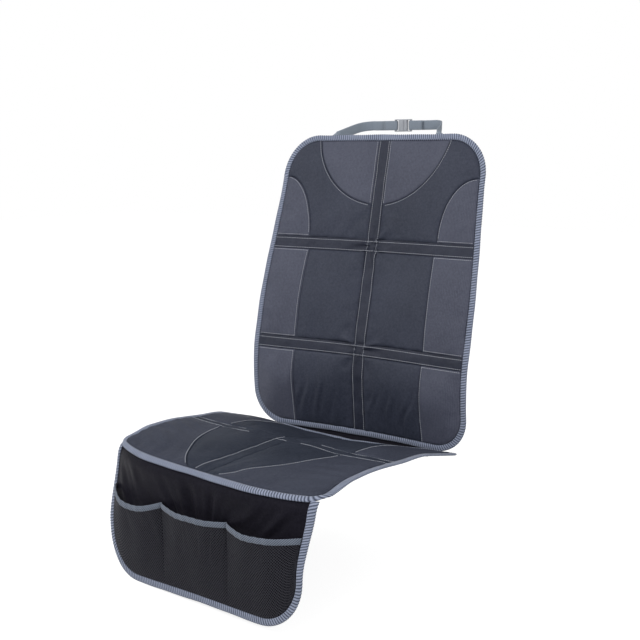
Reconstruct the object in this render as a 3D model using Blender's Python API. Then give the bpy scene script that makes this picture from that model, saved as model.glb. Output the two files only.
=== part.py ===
"""Car seat protector mat: a padded back section, a padded seat section and a front flap with pockets.

The mat is drawn flat first, with u across it and s down it, and then laid on one curved sheet that
follows the seat it covers. Every panel is an outline in (u, s) that is given a thickness there.

Frame: +X to the right of someone who looks at the mat from the front, -Y to its front, +Z up. The
origin is on the flat underside of the seat section, where the mat rests on a cushion.
"""
import math

import bmesh
import bpy
import numpy as np
from mathutils import Vector

# Overall sizes, in metres
MAT_WIDTH = 0.470
TOP_WIDTH = 0.440
BACK_LENGTH = 0.576
SEAT_LENGTH = 0.455
FLAP_LENGTH = 0.206
FLAP_WIDTH = 0.452
FLAP_FOOT_WIDTH = 0.444
GAP = 0.0003

# Binding tape, whose rounding is a share of its width and height
TAPE_WIDTH = 0.0115
TAPE_HEIGHT = 0.0052
TAPE_EDGE_HEIGHT = 0.0022
TAPE_ROUNDING = 0.12
FLAP_TAPE_HEIGHT = 0.0032

# Layers, as heights over the underside
BACKING_THICKNESS = 0.0012
PAD_EDGE_HEIGHT = 0.0048
PAD_CROWN_HEIGHT = 0.0098
BAND_HEIGHT = 0.0032
FLAP_THICKNESS = 0.0015

# Layout of the back section
BACK_TOP_RADIUS = 0.080
BACK_BOTTOM_RADIUS = 0.068
UPPER_BAND_START = 0.200
UPPER_BAND_END = 0.225
LOWER_BAND_START = 0.398
LOWER_BAND_END = 0.422
CENTRE_STRIP_WIDTH = 0.026
SIDE_SEAM = 0.1405
TOP_INLAY_HALF_WIDTH = 0.153
TOP_INLAY_DEPTH = 0.149
TOP_INLAY_CENTRE = -0.015
SIDE_INLAY_REACH = 0.079
SIDE_INLAY_RISE = 0.130
SIDE_INLAY_CENTRE = 0.212

# Layout of the seat section
SEAT_REAR_RADIUS = 0.040
SEAT_FRONT_RADIUS = 0.026
CROSS_BAND_START = 0.211
CROSS_BAND_END = 0.237
FRONT_CURVE_HALF_WIDTH = 0.138
FRONT_CURVE_OVERRUN = 0.0115
FRONT_CURVE_CENTRE = 0.215
FRONT_CURVE_POWER = 1.6
FRONT_CURVE_NOSE = 0.028
FRONT_CURVE_CLEARANCE = 0.004
CURVE_CROWDING = 1.6

# Shape of the sheet that the mat is laid on
BACK_TOP_Y = 0.440
BACK_TOP_Z = 0.520
BACK_RECLINE = math.radians(13.0)
BACK_FOOT_RECLINE = math.radians(-5.0)
BACK_BEND_START = 0.380
BACK_BEND_END = 0.500
BACK_TOP_BOW = 0.007
BACK_FOOT_BOW = 0.016
BACK_BOW_START = 0.050
BACK_BOW_END = 0.350
TAPER_START = 0.060
TAPER_END = 0.340
REST_POINT = 0.333
SEAT_REAR_SLOPE = math.radians(14.5)
SEAT_BEND_START = 0.190
SEAT_BEND_END = 0.250
SEAT_DISH = 0.015
SEAT_DISH_START = 0.120
SEAT_DISH_END = 0.235
SIDE_RISE = 0.008
SIDE_RISE_START = 0.190
SIDE_RISE_FULL = 0.320
SIDE_RISE_FALL = 0.360
SIDE_RISE_END = 0.440
FRONT_ROLL_LEAD = 0.021
FRONT_ROLL_RUN_ON = 0.023
FRONT_ROUND = 0.045
FLAP_HANG = 0.120
FLAP_FLARE = 0.55
FLAP_TUCK = 0.012
FLAP_TILT = 0.055
FLAP_SHIFT = 0.006
SEAT_SKEW = 0.140

# Hinge strip in the crease
HINGE_WIDTH = 0.360
HINGE_THICKNESS = 0.0012
HINGE_OVERLAP = 0.020
HINGE_DROP = 0.010

# Pockets on the flap
FLAP_CORNER_RADIUS = 0.078
POCKET_DIVIDER = 0.076
POCKET_MOUTH = 0.066
POCKET_SAGS = {"left": 0.013, "centre": 0.001, "right": 0.004}
POCKET_GAPE = 0.017
POCKET_SWELL_POWER = 0.7
POCKET_FALL_POWER = 0.8
POCKET_THICKNESS = 0.0010
POCKET_EDGE_CLEARANCE = 0.0008
POCKET_FACE_CLEARANCE = 0.0007
POCKET_MESH_COLUMNS = 7
POCKET_MESH_ROWS = 5
POCKET_MESH_OPEN = 0.66
HEM_WIDTH = 0.0090
HEM_THICKNESS = 0.0018

# Headrest strap and its buckle
WEBBING_WIDTH = 0.018
WEBBING_THICKNESS = 0.0013
STRAP_ANCHOR_X = 0.126
STRAP_ANCHOR_DEPTH = 0.008
STRAP_ANCHOR_LENGTH = 0.012
STRAP_TWIST_POINTS = 8
STRAP_POST_X = 0.074
STRAP_POST_BEND = 0.018
STRAP_REACH = 0.062
STRAP_RISE = 0.019
STRAP_LIFT_OFF = 0.004
STRAP_RETURN = 0.026
BAR_LEAD = 0.006
BUCKLE_LENGTH = 0.037
BUCKLE_HEIGHT = 0.0235
BUCKLE_DEPTH = 0.0076
BUCKLE_BAR = 0.0034
BUCKLE_BAR_DEPTH = 0.0026
BUCKLE_SLOT = 0.0062
BUCKLE_WALL = 0.0014
BUCKLE_SOCKET_SHARE = 0.56
BUCKLE_CHAMFER = 0.0012
WEBBING_CLEARANCE = 0.0010
PLUG_FLANGE = 0.0030
PRONG_THICKNESS = 0.0030
PRONG_END_CLEARANCE = 0.0020
MIDDLE_PRONG_SETBACK = 0.0025
CUTTER_MARGIN = 0.0010

# Fineness of the mesh
ARC_STEPS = 6
CURVE_STEPS = 8
ACROSS_STEPS = 10
STRAP_STEPS = 4
SLOPE_STEP = 0.001
NORMAL_STEP = 0.0005
CUT_MARGIN = 0.002
FLAT_TOLERANCE = 0.000001
MITRE_LIMIT = 0.3
SHARP_ANGLE = math.radians(35)

HALF_WIDTH = MAT_WIDTH / 2
FIELD_HALF = HALF_WIDTH - TAPE_WIDTH
STRIP_HALF = CENTRE_STRIP_WIDTH / 2
FLAP_START = SEAT_LENGTH + GAP
FLAP_END = SEAT_LENGTH + FLAP_LENGTH
FLAP_FIELD_HALF = FLAP_WIDTH / 2 - TAPE_WIDTH
FLAP_FOOT_SHARE = FLAP_FOOT_WIDTH / FLAP_WIDTH
FRONT_ROLL_START = SEAT_LENGTH - FRONT_ROLL_LEAD
FRONT_ROLL_END = SEAT_LENGTH + FRONT_ROLL_RUN_ON
FRONT_CURVE_DEPTH = SEAT_LENGTH - TAPE_WIDTH - FRONT_CURVE_CENTRE + FRONT_CURVE_OVERRUN
POCKET_START = SEAT_LENGTH + POCKET_MOUTH
POCKET_BOTTOM = FLAP_END - TAPE_WIDTH
PAD_BASE = BACKING_THICKNESS + GAP
STRAP_LINE_Y = BACK_TOP_Y + STRAP_REACH
STRAP_LINE_Z = BACK_TOP_Z + STRAP_RISE

COLOURS = {
    "dark_cloth": ((0.045, 0.050, 0.068), 0.55),
    "light_cloth": ((0.105, 0.110, 0.140), 0.50),
    "backing_cloth": ((0.030, 0.031, 0.036), 0.90),
    "binding_tape": ((0.245, 0.290, 0.420), 0.85),
    "flap_cloth": ((0.012, 0.012, 0.016), 0.70),
    "pocket_mesh": ((0.010, 0.010, 0.012), 0.80),
    "webbing": ((0.320, 0.380, 0.460), 0.85),
    "buckle_plastic": ((0.420, 0.440, 0.480), 0.45),
}


def spread(start, end, parts):
    """The places that divide a run into equal parts, with its start and without its end."""
    return [start + (end - start) * k / parts for k in range(parts)]


# Lines across and down the flat mat where its panels bend
COLUMN_CUTS = [side * place for side in (-1, 1)
               for place in spread(STRIP_HALF, SIDE_SEAM, 4) + spread(SIDE_SEAM, FIELD_HALF, 3)]
BACK_CUTS = (spread(0.0, UPPER_BAND_START, 4)[1:] + [UPPER_BAND_START]
             + spread(UPPER_BAND_END, LOWER_BAND_START, 4) + [LOWER_BAND_START]
             + spread(LOWER_BAND_END, BACK_BEND_END, 4) + spread(BACK_BEND_END, BACK_LENGTH, 2))
SEAT_CUTS = (spread(0.0, SEAT_BEND_START, 4)[1:] + spread(SEAT_BEND_START, CROSS_BAND_START, 2)
             + spread(CROSS_BAND_START, CROSS_BAND_END, 2) + [CROSS_BAND_END]
             + spread(SEAT_BEND_END, FRONT_ROLL_START, 4)
             + spread(FRONT_ROLL_START, SEAT_LENGTH - TAPE_WIDTH, 2))
FLAP_CUTS = (spread(SEAT_LENGTH, FRONT_ROLL_END, 4)[1:] + [FRONT_ROLL_END]
             + spread(POCKET_START, FLAP_END, 4))


def smooth(value, start, end):
    """Ease from 0 at start to 1 at end."""
    share = min(1.0, max(0.0, (value - start) / (end - start)))
    return share * share * (3 - 2 * share)


def trace(slope_at, length):
    """Walk along a profile and return its distances, its forward run and its rise."""
    distances = np.arange(0.0, length + SLOPE_STEP, SLOPE_STEP)
    slopes = np.array([slope_at(distance + SLOPE_STEP / 2) for distance in distances[:-1]])
    run = np.concatenate([[0.0], np.cumsum(np.cos(slopes)) * SLOPE_STEP])
    rise = np.concatenate([[0.0], np.cumsum(np.sin(slopes)) * SLOPE_STEP])
    return distances, run, rise


def back_slope(distance):
    """Angle of the back section from the vertical, which straightens below the lumbar bend."""
    return BACK_RECLINE + (BACK_FOOT_RECLINE - BACK_RECLINE) * smooth(
        distance, BACK_BEND_START, BACK_BEND_END)


def seat_slope(distance):
    """Angle of the seat section from the level: it rises to the cross band and rolls over the front."""
    rear = SEAT_REAR_SLOPE * (1 - smooth(distance, SEAT_BEND_START, SEAT_BEND_END))
    return rear - math.pi / 2 * smooth(distance, FRONT_ROLL_START, FRONT_ROLL_END)


BACK_TRACE = trace(back_slope, BACK_LENGTH + 0.01)
SEAT_TRACE = trace(seat_slope, FLAP_END + 0.01)


def back_datum(u, s):
    """Point on the underside of the back section."""
    distances, drop, lean = BACK_TRACE
    half = TOP_WIDTH / 2 + (MAT_WIDTH - TOP_WIDTH) / 2 * smooth(s, TAPER_START, TAPER_END)
    depth = BACK_TOP_BOW + (BACK_FOOT_BOW - BACK_TOP_BOW) * smooth(s, BACK_BOW_START, BACK_BOW_END)
    bow = depth * (1 - (1 - (u / HALF_WIDTH) ** 2) ** 2)
    y = BACK_TOP_Y - float(np.interp(s, distances, lean)) - bow
    z = BACK_TOP_Z - float(np.interp(s, distances, drop))
    if s < 0:
        y += -s * math.sin(BACK_RECLINE)
        z += -s * math.cos(BACK_RECLINE)
    return Vector((u * half / HALF_WIDTH, y, z))


def seat_datum(u, s):
    """Point on the underside of the seat section and of the flap that goes on from it."""
    distances, run, rise = SEAT_TRACE
    across = u / HALF_WIDTH
    forward = float(np.interp(s, distances, run) - np.interp(REST_POINT, distances, run))
    height = float(np.interp(s, distances, rise) - np.interp(REST_POINT, distances, rise))
    if s < 0:
        forward += s * math.cos(SEAT_REAR_SLOPE)
        height += s * math.sin(SEAT_REAR_SLOPE)
    share = min(1.0, max(0.0, s / SEAT_LENGTH))
    hang = smooth(s, SEAT_LENGTH, SEAT_LENGTH + FLAP_HANG)
    corner = FRONT_ROUND * across ** 4 * share ** 3 * (1 - FLAP_FLARE * hang)
    skew = SEAT_SKEW * u * (1 - (1 - share) ** 2)
    dish = SEAT_DISH * across ** 2 * (1 - smooth(s, SEAT_DISH_START, SEAT_DISH_END))
    side = SIDE_RISE * smooth(abs(u), SIDE_SEAM, HALF_WIDTH)
    side *= smooth(s, SIDE_RISE_START, SIDE_RISE_FULL)
    side *= 1 - smooth(s, SIDE_RISE_FALL, SIDE_RISE_END)
    tuck = FLAP_TUCK * (1 - across ** 2) * hang
    tilt = FLAP_TILT * u * hang
    narrow = 1 - (1 - FLAP_FOOT_SHARE) * smooth(s, SEAT_LENGTH, FLAP_END)
    x = u * narrow - FLAP_SHIFT * hang
    return Vector((x, -forward + corner - skew + tuck, height + dish + side + tilt))


def lift(datum, u, s, height):
    """Point at a height over the datum, measured square to it."""
    along_u = datum(u + NORMAL_STEP, s) - datum(u - NORMAL_STEP, s)
    along_s = datum(u, s + NORMAL_STEP) - datum(u, s - NORMAL_STEP)
    return datum(u, s) + height * along_s.cross(along_u).normalized()


def make_material(name):
    colour, roughness = COLOURS[name]
    material = bpy.data.materials.new(name)
    material.use_nodes = True
    shader = material.node_tree.nodes["Principled BSDF"]
    shader.inputs["Base Color"].default_value = (*colour, 1.0)
    shader.inputs["Roughness"].default_value = roughness
    shader.inputs["Metallic"].default_value = 0.0
    return material


def add_object(name, points, faces, material):
    """Make one object from points and faces wound one way, and turn its faces outwards."""
    mesh = bpy.data.meshes.new(name)
    mesh.from_pydata([tuple(point) for point in points], [], faces)
    shape = bmesh.new()
    shape.from_mesh(mesh)
    bmesh.ops.triangulate(shape, faces=shape.faces)
    if shape.calc_volume(signed=True) < 0:
        bmesh.ops.reverse_faces(shape, faces=shape.faces)
    shape.to_mesh(mesh)
    shape.free()
    mesh.shade_smooth()
    mesh.set_sharp_from_angle(angle=SHARP_ANGLE)
    item = bpy.data.objects.new(name, mesh)
    item.data.materials.append(MATERIALS[material])
    bpy.context.collection.objects.link(item)
    return item


def mirrored(outline):
    return [(-u, s) for u, s in reversed(outline)]


def arc(centre_u, centre_s, radius, start, end, steps=ARC_STEPS):
    """Points on a circle in the flat, from one angle to another, with 0 along +u and 90 along +s."""
    angles = np.radians(np.linspace(start, end, steps + 1))
    return [(centre_u + radius * math.cos(a), centre_s + radius * math.sin(a)) for a in angles]


def shrink(outline, distance):
    """Move each side of a closed outline inwards by the same distance."""
    count = len(outline)
    area = sum(
        outline[i][0] * outline[(i + 1) % count][1] - outline[(i + 1) % count][0] * outline[i][1]
        for i in range(count)
    )
    side = 1 if area > 0 else -1
    moved = []
    for i in range(count):
        before = np.array(outline[i]) - np.array(outline[i - 1])
        after = np.array(outline[(i + 1) % count]) - np.array(outline[i])
        normal_before = side * np.array([-before[1], before[0]]) / np.linalg.norm(before)
        normal_after = side * np.array([-after[1], after[0]]) / np.linalg.norm(after)
        mitre = normal_before + normal_after
        mitre = mitre / max(MITRE_LIMIT, mitre.dot(normal_after))
        moved.append(tuple(np.array(outline[i]) + distance * mitre))
    return moved


def is_cell(face):
    """True for a face whose four sides all run along u or along s."""
    return len(face.verts) == 4 and all(
        min(abs(side.verts[0].co[k] - side.verts[1].co[k]) for k in (0, 1)) < FLAT_TOLERANCE
        for side in face.edges)


def panel(name, outline, datum, cuts, base, edge, crown, material):
    """A closed panel: its outline in the flat, cut into cells that follow the datum's curves."""
    flat = bmesh.new()
    corners = [flat.verts.new((u, s, 0.0)) for u, s in shrink(outline, GAP / 2)]
    flat.faces.new(corners)
    planes = [((place, 0, 0), (1, 0, 0)) for place in COLUMN_CUTS]
    planes += [((0, place, 0), (0, 1, 0)) for place in cuts]
    for place, normal in planes:
        everything = flat.verts[:] + flat.edges[:] + flat.faces[:]
        bmesh.ops.bisect_plane(flat, geom=everything, dist=FLAT_TOLERANCE, plane_co=place,
                               plane_no=normal)
    bmesh.ops.triangulate(flat, faces=[face for face in flat.faces if not is_cell(face)])
    flat.verts.index_update()
    count = len(flat.verts)
    lower = [lift(datum, v.co.x, v.co.y, base) for v in flat.verts]
    upper = [lift(datum, v.co.x, v.co.y, edge if v.is_boundary else crown) for v in flat.verts]
    faces = []
    for face in flat.faces:
        first = min(range(len(face.verts)), key=lambda i: sum(face.verts[i].co))
        ids = [v.index for v in face.verts[first:] + face.verts[:first]]
        for k in range(1, len(ids) - 1):
            ahead = [ids[0], ids[k], ids[k + 1]]
            faces.append([i + count for i in ahead])
            faces.append(list(reversed(ahead)))
    for side in flat.edges:
        if side.is_boundary:
            corner = side.link_loops[0]
            a, b = corner.vert.index, corner.link_loop_next.vert.index
            faces.append([b + count, a + count, a, b])
    flat.free()
    return add_object(name, lower + upper, faces, material)


def split_at_cuts(path, cuts, closed):
    """Add a point wherever a path in the flat crosses one of the cutting lines."""
    result = []
    last = len(path) if closed else len(path) - 1
    for i in range(last):
        start = np.array(path[i])
        end = np.array(path[(i + 1) % len(path)])
        shares = set()
        for axis, places in ((0, COLUMN_CUTS), (1, cuts)):
            run = end[axis] - start[axis]
            if abs(run) > FLAT_TOLERANCE:
                shares.update((place - start[axis]) / run for place in places)
        result.append(tuple(start))
        reach = np.linalg.norm(end - start)
        inner = sorted(share for share in shares
                       if CUT_MARGIN < share * reach < reach - CUT_MARGIN)
        result += [tuple(start + share * (end - start)) for share in inner]
    if not closed:
        result.append(path[-1])
    return result


def binding(name, path, datum, cuts, height, closed):
    """Tape folded over an edge: one section swept along the inner line of the tape.

    The path runs so that the outside of the mat is on its right, with s taken as pointing down.
    """
    near, far = TAPE_WIDTH * TAPE_ROUNDING, TAPE_WIDTH * (1 - TAPE_ROUNDING)
    shoulder = height * (1 - TAPE_ROUNDING)
    section = [
        (GAP / 2, 0.0), (far, 0.0), (TAPE_WIDTH, TAPE_EDGE_HEIGHT), (far, shoulder),
        (near, height), (GAP / 2, shoulder),
    ]
    path = split_at_cuts(path, cuts, closed)
    count = len(path)
    points = []
    for i, place in enumerate(path):
        before = np.array(place) - np.array(path[i - 1]) if closed or i > 0 else None
        after = np.array(path[(i + 1) % count]) - np.array(place) if closed or i < count - 1 else None
        before = after if before is None else before
        after = before if after is None else after
        normal_before = np.array([before[1], -before[0]]) / np.linalg.norm(before)
        normal_after = np.array([after[1], -after[0]]) / np.linalg.norm(after)
        mitre = normal_before + normal_after
        mitre = mitre / mitre.dot(normal_after)
        for reach, rise in section:
            u, s = np.array(place) + reach * mitre
            points.append(lift(datum, u, s, rise))
    size = len(section)
    faces = []
    for i in range(count if closed else count - 1):
        j = (i + 1) % count
        for k in range(size):
            n = (k + 1) % size
            faces.append([i * size + k, i * size + n, j * size + n, j * size + k])
    if not closed:
        faces.append(list(reversed(range(size))))
        faces.append([(count - 1) * size + k for k in range(size)])
    return add_object(name, points, faces, material="binding_tape")


def slab(name, front, back, material):
    """A closed sheet between two grids of points of the same size."""
    rows, columns = len(front), len(front[0])
    half = rows * columns
    points = [p for row in front for p in row] + [p for row in back for p in row]
    faces = []
    for i in range(rows - 1):
        for j in range(columns - 1):
            a = i * columns + j
            quad = [a, a + 1, a + columns + 1, a + columns]
            faces.append(quad)
            faces.append([k + half for k in reversed(quad)])
    rim = [j for j in range(columns)]
    rim += [i * columns + columns - 1 for i in range(1, rows)]
    rim += [(rows - 1) * columns + j for j in range(columns - 2, -1, -1)]
    rim += [i * columns for i in range(rows - 2, 0, -1)]
    for k, a in enumerate(rim):
        b = rim[(k + 1) % len(rim)]
        faces.append([b, a, a + half, b + half])
    return add_object(name, points, faces, material)


def rounded_field(half, start, end, start_radius, end_radius):
    """Outline of a section's inner field, from its upper left corner round by the right."""
    outline = arc(-half + start_radius, start + start_radius, start_radius, 180, 270)
    outline += arc(half - start_radius, start + start_radius, start_radius, 270, 360)
    outline += arc(half - end_radius, end - end_radius, end_radius, 0, 90)
    outline += arc(-half + end_radius, end - end_radius, end_radius, 90, 180)
    return outline


def both_sides(stem, outline, datum, cuts, edge, crown, material):
    """A panel on the right of the mat and its mirror image on the left."""
    panel(stem + "_right", outline, datum, cuts, PAD_BASE, edge, crown, material)
    panel(stem + "_left", mirrored(outline), datum, cuts, PAD_BASE, edge, crown, material)


def pad_pair(stem, outline, datum, cuts, material="dark_cloth"):
    both_sides(stem, outline, datum, cuts, PAD_EDGE_HEIGHT, PAD_CROWN_HEIGHT, material)


def band(name, left, right, start, end, datum, cuts):
    outline = [(left, start), (right, start), (right, end), (left, end)]
    panel(name, outline, datum, cuts, PAD_BASE, BAND_HEIGHT, BAND_HEIGHT, "dark_cloth")


def quarter(half_width, depth, centre, power, start_u, end_s):
    """Right half of a rounded inlay: from the centre strip outwards and up or down to end_s."""
    share_start = (start_u / half_width) ** power
    s_start = depth * (1 - share_start) ** (1 / power)
    points = []
    for k in range(CURVE_STEPS + 1):
        turn = k / CURVE_STEPS
        s = s_start + (end_s - s_start) * turn ** CURVE_CROWDING
        u = half_width * (1 - (s / depth) ** power) ** (1 / power)
        points.append((u, centre + s))
    return points


def make_back():
    top = TAPE_WIDTH
    bottom = BACK_LENGTH - TAPE_WIDTH
    top_radius = BACK_TOP_RADIUS - TAPE_WIDTH
    bottom_radius = BACK_BOTTOM_RADIUS - TAPE_WIDTH
    field = rounded_field(FIELD_HALF, top, bottom, top_radius, bottom_radius)
    panel("back_backing", field, back_datum, BACK_CUTS, 0.0, BACKING_THICKNESS,
          BACKING_THICKNESS, "backing_cloth")
    binding("back_binding", field, back_datum, BACK_CUTS, TAPE_HEIGHT, closed=True)

    inlay = quarter(TOP_INLAY_HALF_WIDTH, TOP_INLAY_DEPTH, TOP_INLAY_CENTRE, 2.0, STRIP_HALF,
                    top - TOP_INLAY_CENTRE)
    pad_pair("back_top_inlay", [(STRIP_HALF, top)] + inlay[::-1], back_datum, BACK_CUTS,
             "light_cloth")

    last = math.acos((SIDE_INLAY_CENTRE - UPPER_BAND_START) / SIDE_INLAY_RISE)
    turns = np.linspace(0.0, last, CURVE_STEPS + 1)
    side_curve = [(FIELD_HALF - SIDE_INLAY_REACH * math.sin(t),
                   SIDE_INLAY_CENTRE - SIDE_INLAY_RISE * math.cos(t)) for t in turns]
    corner = arc(FIELD_HALF - top_radius, top + top_radius, top_radius, 270, 360)
    upper = [(STRIP_HALF, UPPER_BAND_START)] + inlay + corner + side_curve
    pad_pair("back_pad_upper", upper, back_datum, BACK_CUTS)
    pad_pair("back_inlay_upper", side_curve[::-1] + [(FIELD_HALF, UPPER_BAND_START)], back_datum,
             BACK_CUTS, "light_cloth")

    rows = (("middle", UPPER_BAND_END, LOWER_BAND_START), ("lower", LOWER_BAND_END, bottom))
    for row, start, end in rows:
        pad = [(STRIP_HALF, start), (SIDE_SEAM, start), (SIDE_SEAM, end), (STRIP_HALF, end)]
        pad_pair("back_pad_" + row, pad, back_datum, BACK_CUTS)
    inlay = [(SIDE_SEAM, UPPER_BAND_END), (FIELD_HALF, UPPER_BAND_END),
             (FIELD_HALF, LOWER_BAND_START), (SIDE_SEAM, LOWER_BAND_START)]
    pad_pair("back_inlay_middle", inlay, back_datum, BACK_CUTS, "light_cloth")
    corner = arc(FIELD_HALF - bottom_radius, bottom - bottom_radius, bottom_radius, 0, 90)
    inlay = [(SIDE_SEAM, LOWER_BAND_END), (FIELD_HALF, LOWER_BAND_END)] + corner
    pad_pair("back_inlay_lower", inlay + [(SIDE_SEAM, bottom)], back_datum, BACK_CUTS,
             "light_cloth")

    band("back_upper_band", -FIELD_HALF, FIELD_HALF, UPPER_BAND_START, UPPER_BAND_END,
         back_datum, BACK_CUTS)
    band("back_lower_band", -FIELD_HALF, FIELD_HALF, LOWER_BAND_START, LOWER_BAND_END,
         back_datum, BACK_CUTS)
    strips = (("upper", top, UPPER_BAND_START), ("middle", UPPER_BAND_END, LOWER_BAND_START),
              ("lower", LOWER_BAND_END, bottom))
    for row, start, end in strips:
        band("back_centre_strip_" + row, -STRIP_HALF, STRIP_HALF, start, end, back_datum,
             BACK_CUTS)


def make_seat():
    rear = TAPE_WIDTH
    front = SEAT_LENGTH - TAPE_WIDTH
    rear_radius = SEAT_REAR_RADIUS - TAPE_WIDTH
    front_radius = SEAT_FRONT_RADIUS - TAPE_WIDTH
    field = rounded_field(FIELD_HALF, rear, front, rear_radius, front_radius)
    panel("seat_backing", field, seat_datum, SEAT_CUTS, 0.0, BACKING_THICKNESS,
          BACKING_THICKNESS, "backing_cloth")
    binding("seat_binding", field, seat_datum, SEAT_CUTS, TAPE_HEIGHT, closed=True)

    pad = [(STRIP_HALF, rear), (SIDE_SEAM, rear), (SIDE_SEAM, CROSS_BAND_START),
           (STRIP_HALF, CROSS_BAND_START)]
    pad_pair("seat_pad_rear", pad, seat_datum, SEAT_CUTS)
    corner = arc(FIELD_HALF - rear_radius, rear + rear_radius, rear_radius, 270, 360)
    inlay = [(SIDE_SEAM, rear)] + corner
    inlay += [(FIELD_HALF, CROSS_BAND_START), (SIDE_SEAM, CROSS_BAND_START)]
    pad_pair("seat_inlay_rear", inlay, seat_datum, SEAT_CUTS, "light_cloth")

    curve = quarter(FRONT_CURVE_HALF_WIDTH, FRONT_CURVE_DEPTH, FRONT_CURVE_CENTRE,
                    FRONT_CURVE_POWER, FRONT_CURVE_NOSE, CROSS_BAND_END - FRONT_CURVE_CENTRE)
    curve = [point for point in curve if point[1] < front - FRONT_CURVE_CLEARANCE]
    meet = (1 - ((front - FRONT_CURVE_CENTRE) / FRONT_CURVE_DEPTH) ** FRONT_CURVE_POWER)
    curve.insert(0, (FRONT_CURVE_HALF_WIDTH * meet ** (1 / FRONT_CURVE_POWER), front))
    pad = [(STRIP_HALF, CROSS_BAND_END), (STRIP_HALF, front)] + curve
    pad_pair("seat_pad_front", pad, seat_datum, SEAT_CUTS)
    corner = arc(FIELD_HALF - front_radius, front - front_radius, front_radius, 0, 90)
    inlay = curve[::-1] + corner[::-1] + [(FIELD_HALF, CROSS_BAND_END)]
    pad_pair("seat_inlay_front", inlay, seat_datum, SEAT_CUTS, "light_cloth")

    band("seat_cross_band", -FIELD_HALF, FIELD_HALF, CROSS_BAND_START, CROSS_BAND_END,
         seat_datum, SEAT_CUTS)
    band("seat_centre_strip_rear", -STRIP_HALF, STRIP_HALF, rear, CROSS_BAND_START, seat_datum,
         SEAT_CUTS)
    band("seat_centre_strip_front", -STRIP_HALF, STRIP_HALF, CROSS_BAND_END, front, seat_datum,
         SEAT_CUTS)


def make_hinge():
    """Strip sewn under the foot of the back section and under the rear of the seat section."""
    near = -GAP
    far = -GAP - HINGE_THICKNESS
    front, back = [], []
    for u in np.linspace(-HINGE_WIDTH / 2, HINGE_WIDTH / 2, ACROSS_STEPS + 1):
        inner, outer = [], []
        for line, height in ((inner, near), (outer, far)):
            line += [lift(back_datum, u, BACK_LENGTH - HINGE_OVERLAP, height),
                     lift(back_datum, u, BACK_LENGTH, height)]
            line += [lift(seat_datum, u, 0.0, height), lift(seat_datum, u, HINGE_OVERLAP, height)]
            fold = (line[1] + line[2]) / 2
            shift = (near - height) * math.sqrt(0.5)
            line.insert(2, fold + Vector((0, shift, -HINGE_DROP - shift)))
        front.append(inner)
        back.append(outer)
    slab("crease_hinge", front, back, "backing_cloth")


def pocket_depth(share, fall):
    """How far a pocket stands out from the flap, at a share of its width and of its height."""
    swell = math.sin(math.pi * share) ** POCKET_SWELL_POWER if 0 < share < 1 else 0.0
    gape = POCKET_GAPE * swell * (1 - fall) ** POCKET_FALL_POWER
    return FLAP_THICKNESS + POCKET_FACE_CLEARANCE + gape


def pocket_bottom(u):
    """Where the pocket's lower edge is sewn down, which follows the flap's rounded corners."""
    radius = FLAP_CORNER_RADIUS - TAPE_WIDTH
    inset = abs(u) - (FLAP_FIELD_HALF - radius)
    reach = radius - POCKET_EDGE_CLEARANCE
    return POCKET_BOTTOM - radius + math.sqrt(max(0.0, reach ** 2 - max(0.0, inset) ** 2))


def pocket_mouth(side, share):
    """Where a pocket's mouth hangs, lowest at its middle."""
    return POCKET_START + POCKET_SAGS[side] * math.sin(math.pi * share)


def pocket_place(side, left, right, share, fall, height):
    """Point on a pocket, from its share across, its share down and its height over the mesh."""
    u = left + (right - left) * share
    mouth = pocket_mouth(side, share)
    s = mouth + (pocket_bottom(u) - mouth) * fall
    return lift(seat_datum, u, s, pocket_depth(share, fall) + height)


def make_pocket(side, left, right):
    """A pocket of coarse net, sewn down on three sides, with a gap in each cell of the net."""
    columns, rows = POCKET_MESH_COLUMNS, POCKET_MESH_ROWS
    margin = (1 - POCKET_MESH_OPEN) / 2
    points, faces = [], []
    for height in (POCKET_THICKNESS, 0.0):
        for i in range(rows + 1):
            for j in range(columns + 1):
                points.append(pocket_place(side, left, right, j / columns, i / rows, height))
        for i in range(rows):
            for j in range(columns):
                for down, across in ((margin, margin), (margin, 1 - margin),
                                     (1 - margin, 1 - margin), (1 - margin, margin)):
                    points.append(pocket_place(side, left, right, (j + across) / columns,
                                               (i + down) / rows, height))
    knots = (rows + 1) * (columns + 1)
    half = knots + 4 * rows * columns
    for i in range(rows):
        for j in range(columns):
            a = i * (columns + 1) + j
            outer = [a, a + 1, a + columns + 2, a + columns + 1]
            hole = [knots + 4 * (i * columns + j) + k for k in range(4)]
            for k in range(4):
                n = (k + 1) % 4
                ring = [outer[k], outer[n], hole[n], hole[k]]
                faces.append(ring)
                faces.append([v + half for v in reversed(ring)])
                faces.append([hole[k], hole[n], hole[n] + half, hole[k] + half])
    rim = [j for j in range(columns + 1)]
    rim += [i * (columns + 1) + columns for i in range(1, rows + 1)]
    rim += [rows * (columns + 1) + j for j in range(columns - 1, -1, -1)]
    rim += [i * (columns + 1) for i in range(rows - 1, 0, -1)]
    for k, a in enumerate(rim):
        b = rim[(k + 1) % len(rim)]
        faces.append([b, a, a + half, b + half])
    add_object("pocket_" + side, points, faces, "pocket_mesh")


def make_hem(side, left, right):
    """Tape folded over the mouth of a pocket."""
    middle_height = POCKET_THICKNESS / 2
    front, back = [], []
    for share in np.linspace(0.0, 1.0, POCKET_MESH_COLUMNS + 1):
        u = left + (right - left) * share
        mouth = pocket_mouth(side, share)
        depth = pocket_depth(share, 0.0)
        places = (mouth - HEM_WIDTH, mouth - GAP)
        front.append([lift(seat_datum, u, s, depth + middle_height + HEM_THICKNESS / 2)
                      for s in places])
        back.append([lift(seat_datum, u, s, depth + max(0.0, middle_height - HEM_THICKNESS / 2))
                     for s in places])
    slab("pocket_hem_" + side, front, back, "binding_tape")


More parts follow.
